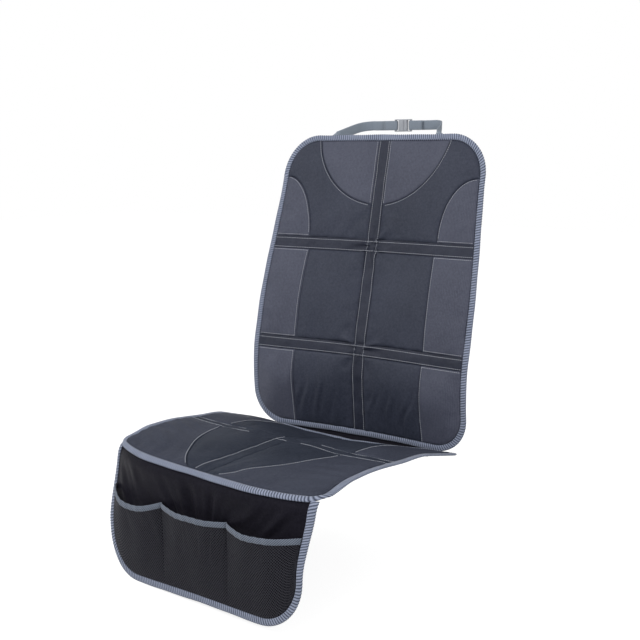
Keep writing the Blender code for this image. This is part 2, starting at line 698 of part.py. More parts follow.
def make_flap():
    radius = FLAP_CORNER_RADIUS - TAPE_WIDTH
    corner_s = POCKET_BOTTOM - radius
    right = [(FLAP_FIELD_HALF, FLAP_START)] + arc(FLAP_FIELD_HALF - radius, corner_s, radius, 0, 90)
    left = arc(-FLAP_FIELD_HALF + radius, corner_s, radius, 90, 180) + [(-FLAP_FIELD_HALF, FLAP_START)]
    panel("flap_cloth", right + left, seat_datum, FLAP_CUTS, 0.0, FLAP_THICKNESS,
          FLAP_THICKNESS, "flap_cloth")
    binding("flap_binding", right + left, seat_datum, FLAP_CUTS, FLAP_TAPE_HEIGHT, closed=False)
    edge = FLAP_FIELD_HALF - POCKET_EDGE_CLEARANCE
    places = (("left", -edge, -POCKET_DIVIDER - GAP / 2),
              ("centre", -POCKET_DIVIDER + GAP / 2, POCKET_DIVIDER - GAP / 2),
              ("right", POCKET_DIVIDER + GAP / 2, edge))
    for side, start, end in places:
        make_pocket(side, start, end)
        make_hem(side, start, end)


def ribbon(name, path, material):
    """Webbing along a path, which starts flat on the leaning back section and turns upright."""
    front, back = [], []
    for i, place in enumerate(path):
        ahead = path[min(i + 1, len(path) - 1)]
        behind = path[max(i - 1, 0)]
        along = (ahead - behind).normalized()
        lean = BACK_RECLINE * max(0.0, 1 - i / STRAP_TWIST_POINTS)
        upright = Vector((0, math.sin(lean), math.cos(lean)))
        width = (upright - upright.dot(along) * along).normalized() * WEBBING_WIDTH / 2
        thick = along.cross(width).normalized() * WEBBING_THICKNESS / 2
        front.append([place - width + thick, place + width + thick])
        back.append([place - width - thick, place + width - thick])
    slab(name, front, back, material)


def curve_through(knots, steps):
    """Points on a smooth curve through the given ones."""
    ends = [2 * knots[0] - knots[1]] + knots + [2 * knots[-1] - knots[-2]]
    points = []
    for i in range(len(knots) - 1):
        a, b, c, d = ends[i:i + 4]
        for k in range(steps):
            t = k / steps
            points.append(0.5 * (2 * b + (c - a) * t + (2 * a - 5 * b + 4 * c - d) * t ** 2
                                 + (3 * b - a - 3 * c + d) * t ** 3))
    return points + [knots[-1]]


def strap_path(side, bar_x):
    """From the top edge of the mat, in behind a headrest post, and round the buckle's bar."""
    flat_height = -GAP - WEBBING_THICKNESS / 2
    turn = BUCKLE_BAR_DEPTH / 2 + WEBBING_THICKNESS / 2 + GAP
    behind = STRAP_LINE_Y + turn
    sewn_end = lift(back_datum, side * STRAP_ANCHOR_X, STRAP_ANCHOR_DEPTH, flat_height)
    knots = [
        lift(back_datum, side * (STRAP_ANCHOR_X - STRAP_ANCHOR_LENGTH), 0.0, flat_height),
        Vector((side * (STRAP_POST_X + STRAP_POST_BEND), behind - STRAP_POST_BEND,
                STRAP_LINE_Z - STRAP_LIFT_OFF)),
        Vector((side * STRAP_POST_X, behind - GAP, STRAP_LINE_Z)),
        Vector((side * (STRAP_POST_X - STRAP_POST_BEND), behind, STRAP_LINE_Z)),
        Vector((bar_x + side * BAR_LEAD, behind, STRAP_LINE_Z)),
    ]
    path = [sewn_end] + curve_through(knots, STRAP_STEPS)
    centre = Vector((bar_x - side * BUCKLE_BAR / 2, STRAP_LINE_Y, STRAP_LINE_Z))
    for angle in np.radians(np.linspace(90, -90, STRAP_STEPS + 1)):
        path.append(centre + Vector((-side * math.cos(angle) * turn, math.sin(angle) * turn, 0)))
    path.append(Vector((bar_x + side * STRAP_RETURN, STRAP_LINE_Y - turn, STRAP_LINE_Z)))
    return path


def box_mesh(shape, low, high):
    """Add a box between two corners to a bmesh."""
    size = [high[k] - low[k] for k in range(3)]
    middle = [(high[k] + low[k]) / 2 for k in range(3)]
    made = bmesh.ops.create_cube(shape, size=1.0)["verts"]
    bmesh.ops.scale(shape, vec=size, verts=made)
    bmesh.ops.translate(shape, vec=middle, verts=made)
    return made


def boxes(name, corners, material=None, chamfer=0.0):
    """One object made of boxes that lie apart or meet in a Boolean later."""
    mesh = bpy.data.meshes.new(name)
    shape = bmesh.new()
    for low, high in corners:
        box_mesh(shape, low, high)
    if chamfer:
        bmesh.ops.bevel(shape, geom=shape.edges[:], offset=chamfer, segments=1, affect="EDGES")
    shape.to_mesh(mesh)
    shape.free()
    item = bpy.data.objects.new(name, mesh)
    bpy.context.collection.objects.link(item)
    if material:
        item.data.materials.append(MATERIALS[material])
    return item


def combine(item, name, corners, operation):
    """Cut boxes from a piece or join boxes to it, with a hidden guide object."""
    guide = boxes(name, corners)
    guide.hide_render = True
    guide.display_type = "WIRE"
    change = item.modifiers.new(name, "BOOLEAN")
    change.operation = operation
    change.solver = "EXACT"
    change.object = guide


def bar_reliefs(low_x, high_x):
    """Boxes that thin a buckle's bar from behind and from in front."""
    half_depth = BUCKLE_DEPTH / 2 + CUTTER_MARGIN
    half_height = WEBBING_WIDTH / 2 + WEBBING_CLEARANCE
    low_z, high_z = STRAP_LINE_Z - half_height, STRAP_LINE_Z + half_height
    return [
        ((low_x, STRAP_LINE_Y + BUCKLE_BAR_DEPTH / 2, low_z),
         (high_x, STRAP_LINE_Y + half_depth, high_z)),
        ((low_x, STRAP_LINE_Y - half_depth, low_z),
         (high_x, STRAP_LINE_Y - BUCKLE_BAR_DEPTH / 2, high_z)),
    ]


def centred(low_x, high_x, half_depth, half_height):
    """Box between two places along the buckle, centred on the strap's line."""
    return ((low_x, STRAP_LINE_Y - half_depth, STRAP_LINE_Z - half_height),
            (high_x, STRAP_LINE_Y + half_depth, STRAP_LINE_Z + half_height))


def make_buckle():
    """Side-release buckle: a hollow socket on the left strap and a pronged plug on the right one."""
    half_length = BUCKLE_LENGTH / 2
    half_height = BUCKLE_HEIGHT / 2
    half_depth = BUCKLE_DEPTH / 2
    slot_height = WEBBING_WIDTH / 2 + WEBBING_CLEARANCE
    joint_x = -half_length + BUCKLE_LENGTH * BUCKLE_SOCKET_SHARE
    slot_end = half_length - BUCKLE_BAR - BUCKLE_SLOT
    inner_depth = half_depth - BUCKLE_WALL
    inner_height = half_height - BUCKLE_WALL

    socket = boxes("buckle_socket", [centred(-half_length, joint_x, half_depth, half_height)],
                   "buckle_plastic", BUCKLE_CHAMFER)
    combine(socket, "socket_cutter", [
        centred(-half_length + BUCKLE_BAR, -slot_end, half_depth + CUTTER_MARGIN, slot_height),
        centred(-slot_end + BUCKLE_WALL, joint_x + CUTTER_MARGIN, inner_depth, inner_height)],
        "DIFFERENCE")
    combine(socket, "socket_bar_cutter", bar_reliefs(
        -half_length - CUTTER_MARGIN, -half_length + BUCKLE_BAR + CUTTER_MARGIN / 2), "DIFFERENCE")

    plug = boxes("buckle_plug", [centred(joint_x + GAP, half_length, half_depth, half_height)],
                 "buckle_plastic", BUCKLE_CHAMFER)
    combine(plug, "plug_cutter", [
        centred(slot_end, half_length - BUCKLE_BAR, half_depth + CUTTER_MARGIN, slot_height)],
        "DIFFERENCE")
    combine(plug, "plug_bar_cutter", bar_reliefs(
        half_length - BUCKLE_BAR - CUTTER_MARGIN / 2, half_length + CUTTER_MARGIN), "DIFFERENCE")
    root = joint_x + PLUG_FLANGE
    tip = -slot_end + BUCKLE_WALL + PRONG_END_CLEARANCE
    prong_y = inner_depth - GAP
    prong_z = inner_height - GAP
    low_y, high_y = STRAP_LINE_Y - prong_y, STRAP_LINE_Y + prong_y
    combine(plug, "plug_prongs", [
        ((tip, low_y, STRAP_LINE_Z + prong_z - PRONG_THICKNESS),
         (root, high_y, STRAP_LINE_Z + prong_z)),
        ((tip, low_y, STRAP_LINE_Z - prong_z),
         (root, high_y, STRAP_LINE_Z - prong_z + PRONG_THICKNESS)),
        centred(tip + MIDDLE_PRONG_SETBACK, root, prong_y, PRONG_THICKNESS / 2)], "UNION")


def make_straps():
    bar_x = BUCKLE_LENGTH / 2 - BUCKLE_BAR / 2
    ribbon("headrest_strap_left", strap_path(-1, -bar_x), "webbing")
    ribbon("headrest_strap_right", strap_path(1, bar_x), "webbing")


for old in list(bpy.data.objects):
    bpy.data.objects.remove(old, do_unlink=True)

MATERIALS = {name: make_material(name) for name in COLOURS}
make_back()
make_seat()
make_hinge()
make_flap()
make_straps()
make_buckle()
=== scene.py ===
"""Looks of the car seat protector mat: quilted cloth, tape, stitching, net pockets and strap."""

import math
from collections import namedtuple

import bmesh
import bpy
import numpy as np
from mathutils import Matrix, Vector


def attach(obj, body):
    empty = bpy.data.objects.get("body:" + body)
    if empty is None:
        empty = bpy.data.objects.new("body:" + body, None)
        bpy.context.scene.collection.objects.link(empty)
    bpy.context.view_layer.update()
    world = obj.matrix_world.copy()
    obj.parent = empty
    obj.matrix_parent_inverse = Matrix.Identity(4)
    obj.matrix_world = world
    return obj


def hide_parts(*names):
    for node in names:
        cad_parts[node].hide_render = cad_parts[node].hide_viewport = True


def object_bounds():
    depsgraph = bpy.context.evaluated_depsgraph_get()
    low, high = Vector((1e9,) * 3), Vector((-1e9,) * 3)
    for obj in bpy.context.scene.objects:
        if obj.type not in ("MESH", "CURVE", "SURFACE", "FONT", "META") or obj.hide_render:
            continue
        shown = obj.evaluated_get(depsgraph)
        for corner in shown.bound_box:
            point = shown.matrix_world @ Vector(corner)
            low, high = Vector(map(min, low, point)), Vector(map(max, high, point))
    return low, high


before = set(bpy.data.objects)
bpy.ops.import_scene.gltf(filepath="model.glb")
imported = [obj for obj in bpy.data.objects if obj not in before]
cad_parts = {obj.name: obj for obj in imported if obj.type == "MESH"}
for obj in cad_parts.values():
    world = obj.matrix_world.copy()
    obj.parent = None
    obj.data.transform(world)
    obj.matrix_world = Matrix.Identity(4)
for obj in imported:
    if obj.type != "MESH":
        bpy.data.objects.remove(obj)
CAD_BOX = [list(corner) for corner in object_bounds()]

# Sizes shared with the solids, in metres
MAT_WIDTH = 0.470
TOP_WIDTH = 0.440
BACK_LENGTH = 0.576
SEAT_LENGTH = 0.455
FLAP_LENGTH = 0.206
FLAP_WIDTH = 0.452
FLAP_FOOT_WIDTH = 0.444
GAP = 0.0003
CLOTH_IN_TAPE = 0.0030
TAPE_WIDTH = 0.0115
TAPE_HEIGHT = 0.0048
SEAT_TAPE_HEIGHT = 0.0042
FLAP_TAPE_HEIGHT = 0.0036
BACKING_THICKNESS = 0.0012
BAND_HEIGHT = 0.0032
SEAT_BAND_HEIGHT = 0.0045
FLAP_THICKNESS = 0.0012

BACK_TOP_RADIUS = 0.080
BACK_BOTTOM_RADIUS = 0.068
UPPER_BAND = (0.200, 0.225)
LOWER_BAND = (0.398, 0.422)
SIDE_SEAM = 0.1405
TOP_INLAY_HALF_WIDTH = 0.153
TOP_INLAY_DEPTH = 0.149
TOP_INLAY_CENTRE = -0.015
SIDE_INLAY_REACH = 0.079
SIDE_INLAY_RISE = 0.130
SIDE_INLAY_CENTRE = 0.212

SEAT_REAR_RADIUS = 0.040
SEAT_FRONT_RADIUS = 0.026
CROSS_BAND = (0.211, 0.237)
FRONT_CURVE_HALF_WIDTH = 0.138
FRONT_CURVE_DEPTH = 0.240
FRONT_CURVE_CENTRE = 0.215
FRONT_CURVE_POWER = 1.6
FRONT_CURVE_NOSE = 0.028

BACK_TOP_Y = 0.440
BACK_TOP_Z = 0.520
BACK_RECLINE = math.radians(13.0)
BACK_FOOT_RECLINE = math.radians(-5.0)
TOP_BOW, FOOT_BOW = 0.007, 0.016
REST_POINT = 0.333
SEAT_REAR_SLOPE = math.radians(14.5)
SEAT_DISH = 0.015
SIDE_RISE = 0.008
FRONT_ROUND = 0.045
FLAP_HANG = 0.120
FLAP_FLARE = 0.55
FLAP_TUCK = 0.012
FLAP_TILT = 0.055
FLAP_SHIFT = 0.006
SEAT_SKEW = 0.140

# Stretches along the cloth over which its shape changes
TOP_WIDENS = (0.060, 0.340)
BOW_GROWS = (0.050, 0.350)
BACK_STRAIGHTENS = (0.380, 0.500)
SEAT_LEVELS = (0.190, 0.250)
DISH_FADES = (0.120, 0.235)
SIDE_RISES, SIDE_FALLS = (0.190, 0.320), (0.360, 0.440)
FRONT_ROLL = (0.434, 0.478)
PROFILE_SPARE = 0.01

FLAP_CORNER_RADIUS = 0.078
FLAP_TUCK_IN = 0.008
POCKET_DIVIDER = 0.076
POCKET_MOUTH = 0.066
POCKET_SAGS = {"left": 0.013, "centre": 0.001, "right": 0.004}
POCKET_GAPE = 0.017
HEM_WIDTH = 0.0098
HEM_HALF_THICKNESS = 0.0012
NET_THICKNESS = 0.0006
NET_CLEARANCE = 0.0001
NET_CELL = (0.0044, 0.0054)
NET_OPEN_SHARE = 0.84

WEBBING_WIDTH = 0.018
WEBBING_THICKNESS = 0.0013
STRAP_ANCHOR_X = 0.126
STRAP_SEWN = 0.012
STRAP_POST_X = 0.074
STRAP_POST_BEND = 0.018
STRAP_LINE_Y = BACK_TOP_Y + 0.062
STRAP_LINE_Z = BACK_TOP_Z + 0.019
BUCKLE_BAR_X = 0.0168
BUCKLE_BAR_RADIUS = 0.0013

HALF_WIDTH = MAT_WIDTH / 2
FIELD_HALF = HALF_WIDTH - TAPE_WIDTH
STRIP_HALF = 0.013
FLAP_END = SEAT_LENGTH + FLAP_LENGTH
FLAP_FIELD_HALF = FLAP_WIDTH / 2 - TAPE_WIDTH
FLAP_RADIUS = FLAP_CORNER_RADIUS - TAPE_WIDTH
POCKET_BOTTOM = FLAP_END - TAPE_WIDTH
PAD_BASE = BACKING_THICKNESS + GAP
LEAST_COVER = PAD_BASE + 0.0004

# Cloth: cell sizes, the quilt simulation, and heights of waves, creases and puckers
PANEL_CELL, BAND_CELL, BACKING_CELL, FLAP_CELL = 0.0029, 0.0022, 0.0060, 0.0036
QUILT_CELL = 0.0055
QUILT_FRAMES = 20
QUILT_START = 0.0004
QUILT_CLOTH = {"vertex_group_mass": "seams", "quality": 5, "mass": 0.3, "tension_stiffness": 30,
               "compression_stiffness": 30, "shear_stiffness": 10, "bending_stiffness": 8,
               "shrink_min": -0.006, "use_pressure": True, "uniform_pressure_force": 6, "air_damping": 3}
PUFF = 0.60
BACK_WAVE, BACK_SLACK, BACK_PINCH = 0.0005, 0.0005, 0.0034
FOOT_CREASE = 0.0017
INLAY_BULGE = 0.0050
SEAT_WAVE, SEAT_SLACK, SEAT_PINCH = 0.0013, 0.0008, 0.0004
SEAT_INLAY_WAVE = 0.0008
PAD_EDGE, PAD_SHOULDER, PAD_CROWN = 0.0026, 0.0018, 0.0012
PUCKER = 0.00016
PUCKER_WAVES = ((1.0, 0.0135), (0.7, 0.0211), (0.6, 0.0340))
FLAP_FOLD = 0.0030
NET_SLACK = 0.0011

# Tape and stitches
TWILL_PITCH = 0.0046
TWILL_LEAN = -1.1
TWILL_RELIEF = 0.00060
HEM_PITCH = 0.0042
TAPE_STEP = 0.0009
TAPE_GIRTH = 0.028
REAR_TAPE_RISE = 0.0040
STITCH_PITCH = 0.0040
STITCH_LENGTH = 0.0034
STITCH_RADIUS = 0.00055
STITCH_ARCH = 0.00022
STITCH_SIDES = 6
STITCH_IN = 0.0027
BAND_STITCH_IN = 0.0046
BAND_LINE_END = 0.001
PAD_LINE_END = 0.002


def smooth(value, start, end):
    """Ease from 0 at start to 1 at end."""
    share = np.clip((np.asarray(value, float) - start) / (end - start), 0.0, 1.0)
    return share * share * (3 - 2 * share)


def unit(vectors):
    return vectors / np.linalg.norm(vectors, axis=-1, keepdims=True)


def ripple(place, length, turn=0.0):
    """A sine wave of one length."""
    return np.sin(2 * math.pi * place / length + turn)


def running(values):
    """Running total of some steps, from 0."""
    return np.concatenate([[0.0], np.cumsum(values)])


def lengths_along(points):
    return running(np.linalg.norm(np.diff(points, axis=0), axis=1))


def trace(slope_at, length, step=0.001):
    """Walk along a profile and return its distances, its forward run and its rise."""
    distances = np.arange(0.0, length + step, step)
    slopes = slope_at(distances[:-1] + step / 2)
    return distances, running(np.cos(slopes)) * step, running(np.sin(slopes)) * step


BACK_TRACE = trace(lambda s: (BACK_RECLINE + (BACK_FOOT_RECLINE - BACK_RECLINE)
                              * smooth(s, *BACK_STRAIGHTENS)), BACK_LENGTH + PROFILE_SPARE)
SEAT_TRACE = trace(lambda s: (SEAT_REAR_SLOPE * (1 - smooth(s, *SEAT_LEVELS))
                              - math.pi / 2 * smooth(s, *FRONT_ROLL)), FLAP_END + PROFILE_SPARE)


def back_datum(u, s):
    """Points on the underside of the back section."""
    u, s = np.broadcast_arrays(np.asarray(u, float), np.asarray(s, float))
    distances, drop, lean = BACK_TRACE
    half = TOP_WIDTH / 2 + (MAT_WIDTH - TOP_WIDTH) / 2 * smooth(s, *TOP_WIDENS)
    depth = TOP_BOW + (FOOT_BOW - TOP_BOW) * smooth(s, *BOW_GROWS)
    bow = depth * (1 - (1 - (u / HALF_WIDTH) ** 2) ** 2)
    above = np.minimum(s, 0.0)
    y = BACK_TOP_Y - np.interp(s, distances, lean) - bow - above * math.sin(BACK_RECLINE)
    z = BACK_TOP_Z - np.interp(s, distances, drop) - above * math.cos(BACK_RECLINE)
    return np.stack([u * half / HALF_WIDTH, y, z], axis=-1)


def seat_datum(u, s):
    """Points on the underside of the seat section and of the flap that goes on from it."""
    u, s = np.broadcast_arrays(np.asarray(u, float), np.asarray(s, float))
    distances, run, rise = SEAT_TRACE
    across = u / HALF_WIDTH
    behind = np.minimum(s, 0.0)
    forward = (np.interp(s, distances, run) - np.interp(REST_POINT, distances, run)
               + behind * math.cos(SEAT_REAR_SLOPE))
    height = (np.interp(s, distances, rise) - np.interp(REST_POINT, distances, rise)
              + behind * math.sin(SEAT_REAR_SLOPE))
    share = np.clip(s / SEAT_LENGTH, 0.0, 1.0)
    hang = smooth(s, SEAT_LENGTH, SEAT_LENGTH + FLAP_HANG)
    corner = FRONT_ROUND * across ** 4 * share ** 3 * (1 - FLAP_FLARE * hang)
    skew = SEAT_SKEW * u * (1 - (1 - share) ** 2)
    dish = SEAT_DISH * across ** 2 * (1 - smooth(s, *DISH_FADES))
    side = SIDE_RISE * smooth(abs(u), SIDE_SEAM, HALF_WIDTH)
    side = side * smooth(s, *SIDE_RISES) * (1 - smooth(s, *SIDE_FALLS))
    tuck = FLAP_TUCK * (1 - across ** 2) * hang
    narrow = 1 - (1 - FLAP_FOOT_WIDTH / FLAP_WIDTH) * smooth(s, SEAT_LENGTH, FLAP_END)
    x = u * narrow - FLAP_SHIFT * hang
    return np.stack([x, -forward + corner - skew + tuck,
                     height + dish + side + FLAP_TILT * u * hang], axis=-1)


def lift(datum, u, s, height):
    """Points at a height over the datum, measured square to it."""
    step = 0.0005
    u, s, height = np.broadcast_arrays(np.asarray(u, float), np.asarray(s, float),
                                       np.asarray(height, float))
    along_u = datum(u + step, s) - datum(u - step, s)
    along_s = datum(u, s + step) - datum(u, s - step)
    return datum(u, s) + height[..., None] * unit(np.cross(along_s, along_u))


def waves(u, s, seed, length, count=7):
    """Smooth unevenness between about -1 and 1, from waves of about one length."""
    source = np.random.default_rng(seed)
    total = np.zeros(np.broadcast(u, s).shape)
    for _ in range(count):
        angle = source.uniform(0, 2 * math.pi)
        size = length * source.uniform(0.7, 1.6)
        phase = source.uniform(0, 2 * math.pi)
        total += ripple(u * math.cos(angle) + s * math.sin(angle), size, phase)
    return total / math.sqrt(count * 2)


def segment_distance(u, s, segment):
    """Distance in the flat from a straight seam."""
    u0, s0, u1, s1 = segment
    run = np.array([u1 - u0, s1 - s0])
    share = np.clip(((u - u0) * run[0] + (s - s0) * run[1]) / (run @ run), 0, 1)
    return np.hypot(u - u0 - share * run[0], s - s0 - share * run[1])


def simulated_quilt(name, length, seams, seed):
    """Height of a section once its cloth, cut a little large, is blown up between its seams."""
    us = np.linspace(-HALF_WIDTH, HALF_WIDTH, int(MAT_WIDTH / QUILT_CELL) + 1)
    ss = np.linspace(0, length, int(length / QUILT_CELL) + 1)
    gu, gs = np.meshgrid(us, ss)
    start = QUILT_START * waves(gu, gs, seed, 0.035)
    held = np.min([segment_distance(gu, gs, seam) for seam in seams], axis=0) < QUILT_CELL * 0.75
    start[held] = 0
    columns = len(us)
    cells = [(j * columns + i, j * columns + i + 1, (j + 1) * columns + i + 1, (j + 1) * columns + i)
             for j in range(len(ss) - 1) for i in range(columns - 1)]
    mesh = bpy.data.meshes.new(name)
    mesh.from_pydata(np.stack([gu, gs, start], axis=-1).reshape(-1, 3).tolist(), [], cells)
    item = bpy.data.objects.new(name, mesh)
    bpy.context.collection.objects.link(item)
    pinned = item.vertex_groups.new(name="seams")
    pinned.add([int(i) for i in np.flatnonzero(held.ravel())], 1.0, "REPLACE")
    cloth = item.modifiers.new("cloth", "CLOTH")
    for key, value in QUILT_CLOTH.items():
        setattr(cloth.settings, key, value)
    cloth.settings.effector_weights.gravity = 0
    cloth.collision_settings.use_self_collision = False
    cloth.point_cache.frame_start, cloth.point_cache.frame_end = 1, QUILT_FRAMES
    for number in range(1, QUILT_FRAMES + 1):
        bpy.context.scene.frame_set(number)
    settled = item.evaluated_get(bpy.context.evaluated_depsgraph_get()).data
    places = np.zeros(len(settled.vertices) * 3)
    settled.vertices.foreach_get("co", places)
    heights = places.reshape(len(ss), columns, 3)[..., 2].copy()
    bpy.data.objects.remove(item)
    bpy.data.meshes.remove(mesh)
    bpy.context.scene.frame_set(1)
    return us, ss, heights


def sampled(field, u, s):
    """Read a simulated height between its grid points."""
    us, ss, heights = field
    x = np.clip((u - us[0]) / (us[1] - us[0]), 0, len(us) - 1.001)
    y = np.clip((s - ss[0]) / (ss[1] - ss[0]), 0, len(ss) - 1.001)
    i, j = x.astype(int), y.astype(int)
    a, b = smooth(x - i, 0, 1), smooth(y - j, 0, 1)
    return ((heights[j, i] * (1 - a) + heights[j, i + 1] * a) * (1 - b)
            + (heights[j + 1, i] * (1 - a) + heights[j + 1, i + 1] * a) * b)


def section_seams(length, rows):
    """The seams that hold a section down: its edges, its bands and its centre strip."""
    seams = [(-HALF_WIDTH, s, HALF_WIDTH, s) for s in (TAPE_WIDTH, length - TAPE_WIDTH) + rows]
    return seams + [(side * u, 0, side * u, length) for side in (-1, 1)
                    for u in (FIELD_HALF, HALF_WIDTH, STRIP_HALF)]


BACK_QUILT = simulated_quilt("back_quilt", BACK_LENGTH,
                             section_seams(BACK_LENGTH, UPPER_BAND + LOWER_BAND), 3)
SEAT_QUILT = simulated_quilt("seat_quilt", SEAT_LENGTH, section_seams(SEAT_LENGTH, CROSS_BAND), 4)


def crossing_pinch(u, s, rows, size):
    """Creases that run out from where a band is sewn across the centre strip."""
    centre_s = sum(rows) / 2
    reach = np.hypot(u * 0.8, s - centre_s)
    angle = np.arctan2(s - centre_s, u * 0.8)
    near = np.exp(-(reach / 0.034) ** 2) * np.clip(reach / 0.012, 0, 1)
    fold = np.cos(6 * angle + 25 * reach + centre_s * 20) + 0.5 * np.cos(9 * angle + centre_s * 9)
    return size * (near * fold - 0.6 * np.exp(-(reach / 0.011) ** 2))


def back_relief(u, s):
    """Unevenness of the back section: soft waves, pinches, and creases and bulges at its foot."""
    relief = PUFF * sampled(BACK_QUILT, u, s) + BACK_WAVE * waves(u, s, 11, 0.120)
    for rows in (UPPER_BAND, LOWER_BAND):
        relief = relief + crossing_pinch(u, s, rows, BACK_PINCH)
    foot = smooth(s, 0.440, 0.545) * (1 - smooth(abs(u), 0.120, 0.160))
    drift = u + 0.010 * ripple(s, 0.17) + 0.004 * waves(u, s, 13, 0.08)
    creases = ripple(drift, 0.0235) + 0.6 * ripple(drift, 0.0147, 1.0)
    creases = creases * np.clip(0.55 + 0.45 * waves(u, s, 14, 0.11), 0.1, 1.2)
    slack = np.clip(waves(u, s, 16, 0.16), 0, 1) * ripple(0.8 * u + 0.6 * s, 0.052)
    inlay = smooth(abs(u), 0.138, 0.150) * smooth(s, LOWER_BAND[1], LOWER_BAND[1] + 0.03)
    bulge = np.sin(math.pi * smooth(s, LOWER_BAND[1] - 0.005, 0.560) ** 0.8)
    bulge = bulge * (1 - 0.8 * smooth(abs(u), 0.170, 0.222)) * (1 + 0.25 * waves(u, s, 15, 0.07))
    return (relief + BACK_SLACK * slack * (1 - foot) + FOOT_CREASE * foot * creases
            + INLAY_BULGE * inlay * bulge)


def seat_relief(u, s):
    """Unevenness of the seat section: soft waves, the pinch, and slack near the front."""
    relief = PUFF * sampled(SEAT_QUILT, u, s) + SEAT_WAVE * waves(u, s, 21, 0.120)
    inlay = smooth(abs(u), 0.110, 0.170) * smooth(s, 0.230, 0.300) * (1 - smooth(s, 0.410, 0.445))
    folds = ripple(s + 0.25 * abs(u) + 0.006 * waves(u, s, 24, 0.09), 0.034)
    relief = relief + SEAT_INLAY_WAVE * inlay * folds + crossing_pinch(u, s, CROSS_BAND, SEAT_PINCH)
    slack = smooth(s, 0.30, 0.42) * (1 - smooth(s, 0.43, 0.455)) * (1 - smooth(abs(u), 0.08, 0.18))
    drift = u + 0.35 * (s - 0.35) * np.sign(u) + 0.005 * waves(u, s, 23, 0.1)
    return relief + SEAT_SLACK * slack * ripple(drift, 0.043)


def edge_distance(points, outline):
    """Distance of each flat point from a closed outline, and how far round the nearest place is."""
    start = np.array(outline)
    run = np.roll(start, -1, axis=0) - start
    length = np.linalg.norm(run, axis=1)
    best = np.full(len(points), 1e9)
    place = np.zeros(len(points))
    for a, d, size, offset in zip(start, run, length, running(length)):
        if size < 1e-9:
            continue
        share = np.clip(((points - a) @ d) / size ** 2, 0, 1)
        away = np.linalg.norm(points - a - share[:, None] * d, axis=1)
        closer = away < best
        best = np.where(closer, away, best)
        place = np.where(closer, offset + share * size, place)
    return best, place


def roll(distance, radius):
    """Rounded shoulder of a turned edge: 0 at the edge and 1 from one radius inwards."""
    share = np.clip(distance / radius, 0, 1)
    return np.sqrt(np.clip(1 - (1 - share) ** 2, 0, 1))


def pad_height(distance, place, seed):
    """Height of a padded panel: a turned edge, a foam crown and puckers that run in from the seam."""
    crown = PAD_EDGE + PAD_SHOULDER * roll(distance, 0.0030) + PAD_CROWN * (1 - np.exp(-distance / 0.012))
    phases = np.random.default_rng(seed).uniform(0, 2 * math.pi, 3)
    pucker = sum(size * ripple(place, length, phase)
                 for (size, length), phase in zip(PUCKER_WAVES, phases))
    fade = np.exp(-distance / 0.011) * np.clip(distance / 0.003, 0, 1)
    return crown + PUCKER * pucker * fade


def band_top(u, s, start, end):
    """Height of a back section's fold band: it dips where it tucks in under the pad before it."""
    if start is None:
        return BAND_HEIGHT - 0.0007 * np.exp(-((abs(u) - STRIP_HALF) / 0.0022) ** 2)
    tuck = 0.0022 * np.exp(-(np.maximum(s - start, 0) / 0.0036) ** 2)
    swell = 0.0007 * np.sin(math.pi * np.clip((s - start) / (end - start), 0, 1))
    return BAND_HEIGHT - tuck + swell


def seat_band_top(u, s, start, end):
    """Height of a seat section's fold band, which lies almost level with the pads at the middle."""
    if start is None:
        return SEAT_BAND_HEIGHT
    groove = sum(np.exp(-((s - seam) / 0.0030) ** 2) for seam in (start, end))
    return SEAT_BAND_HEIGHT - smooth(abs(u), 0.060, 0.130) * (0.0012 + 0.0026 * groove)


def arc(centre_u, centre_s, radius, start, end, steps=18):
    angles = np.radians(np.linspace(start, end, steps + 1))
    return [(centre_u + radius * math.cos(a), centre_s + radius * math.sin(a)) for a in angles]


def rectangle(left, right, start, end):
    return [(left, start), (right, start), (right, end), (left, end)]


def shrink(outline, distance):
    """Move each side of a closed outline inwards by the same distance."""
    here = np.array(outline)
    after = np.roll(here, -1, axis=0) - here
    area = np.sum(here[:, 0] * np.roll(here[:, 1], -1) - np.roll(here[:, 0], -1) * here[:, 1])
    side = 1 if area > 0 else -1
    normal = side * unit(np.stack([-after[:, 1], after[:, 0]], axis=1))
    mitre = np.roll(normal, 1, axis=0) + normal
    mitre /= np.maximum(0.3, np.sum(mitre * normal, axis=1))[:, None]
    return [tuple(p) for p in here + distance * mitre]


def without_repeats(outline):
    kept = []
    for point in outline:
        if not kept or math.dist(point, kept[-1]) > 1e-6:
            kept.append(point)
    if math.dist(kept[0], kept[-1]) < 1e-6:
        kept.pop()
    return kept


def finish_piece(name, points, faces, material, uvs, sharp=50):
    """One closed mesh object, with its flat coordinates kept for the weave."""
    mesh = bpy.data.meshes.new(name)
    mesh.from_pydata([tuple(map(float, p)) for p in points], [], [tuple(map(int, f)) for f in faces])
    layer = mesh.uv_layers.new(name="flat")
    corner = np.zeros(len(mesh.loops), dtype=np.int32)
    mesh.loops.foreach_get("vertex_index", corner)
    layer.data.foreach_set("uv", np.asarray(uvs, dtype=np.float32)[corner].ravel())
    shape = bmesh.new()
    shape.from_mesh(mesh)
    if shape.calc_volume(signed=True) < 0:
        bmesh.ops.reverse_faces(shape, faces=shape.faces)
    shape.to_mesh(mesh)
    shape.free()
    mesh.shade_smooth()
    if sharp:
        mesh.set_sharp_from_angle(angle=math.radians(sharp))
    item = bpy.data.objects.new(name, mesh)
    bpy.context.collection.objects.link(item)
    mesh.materials.append(material)
    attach(item, "root")
    return item


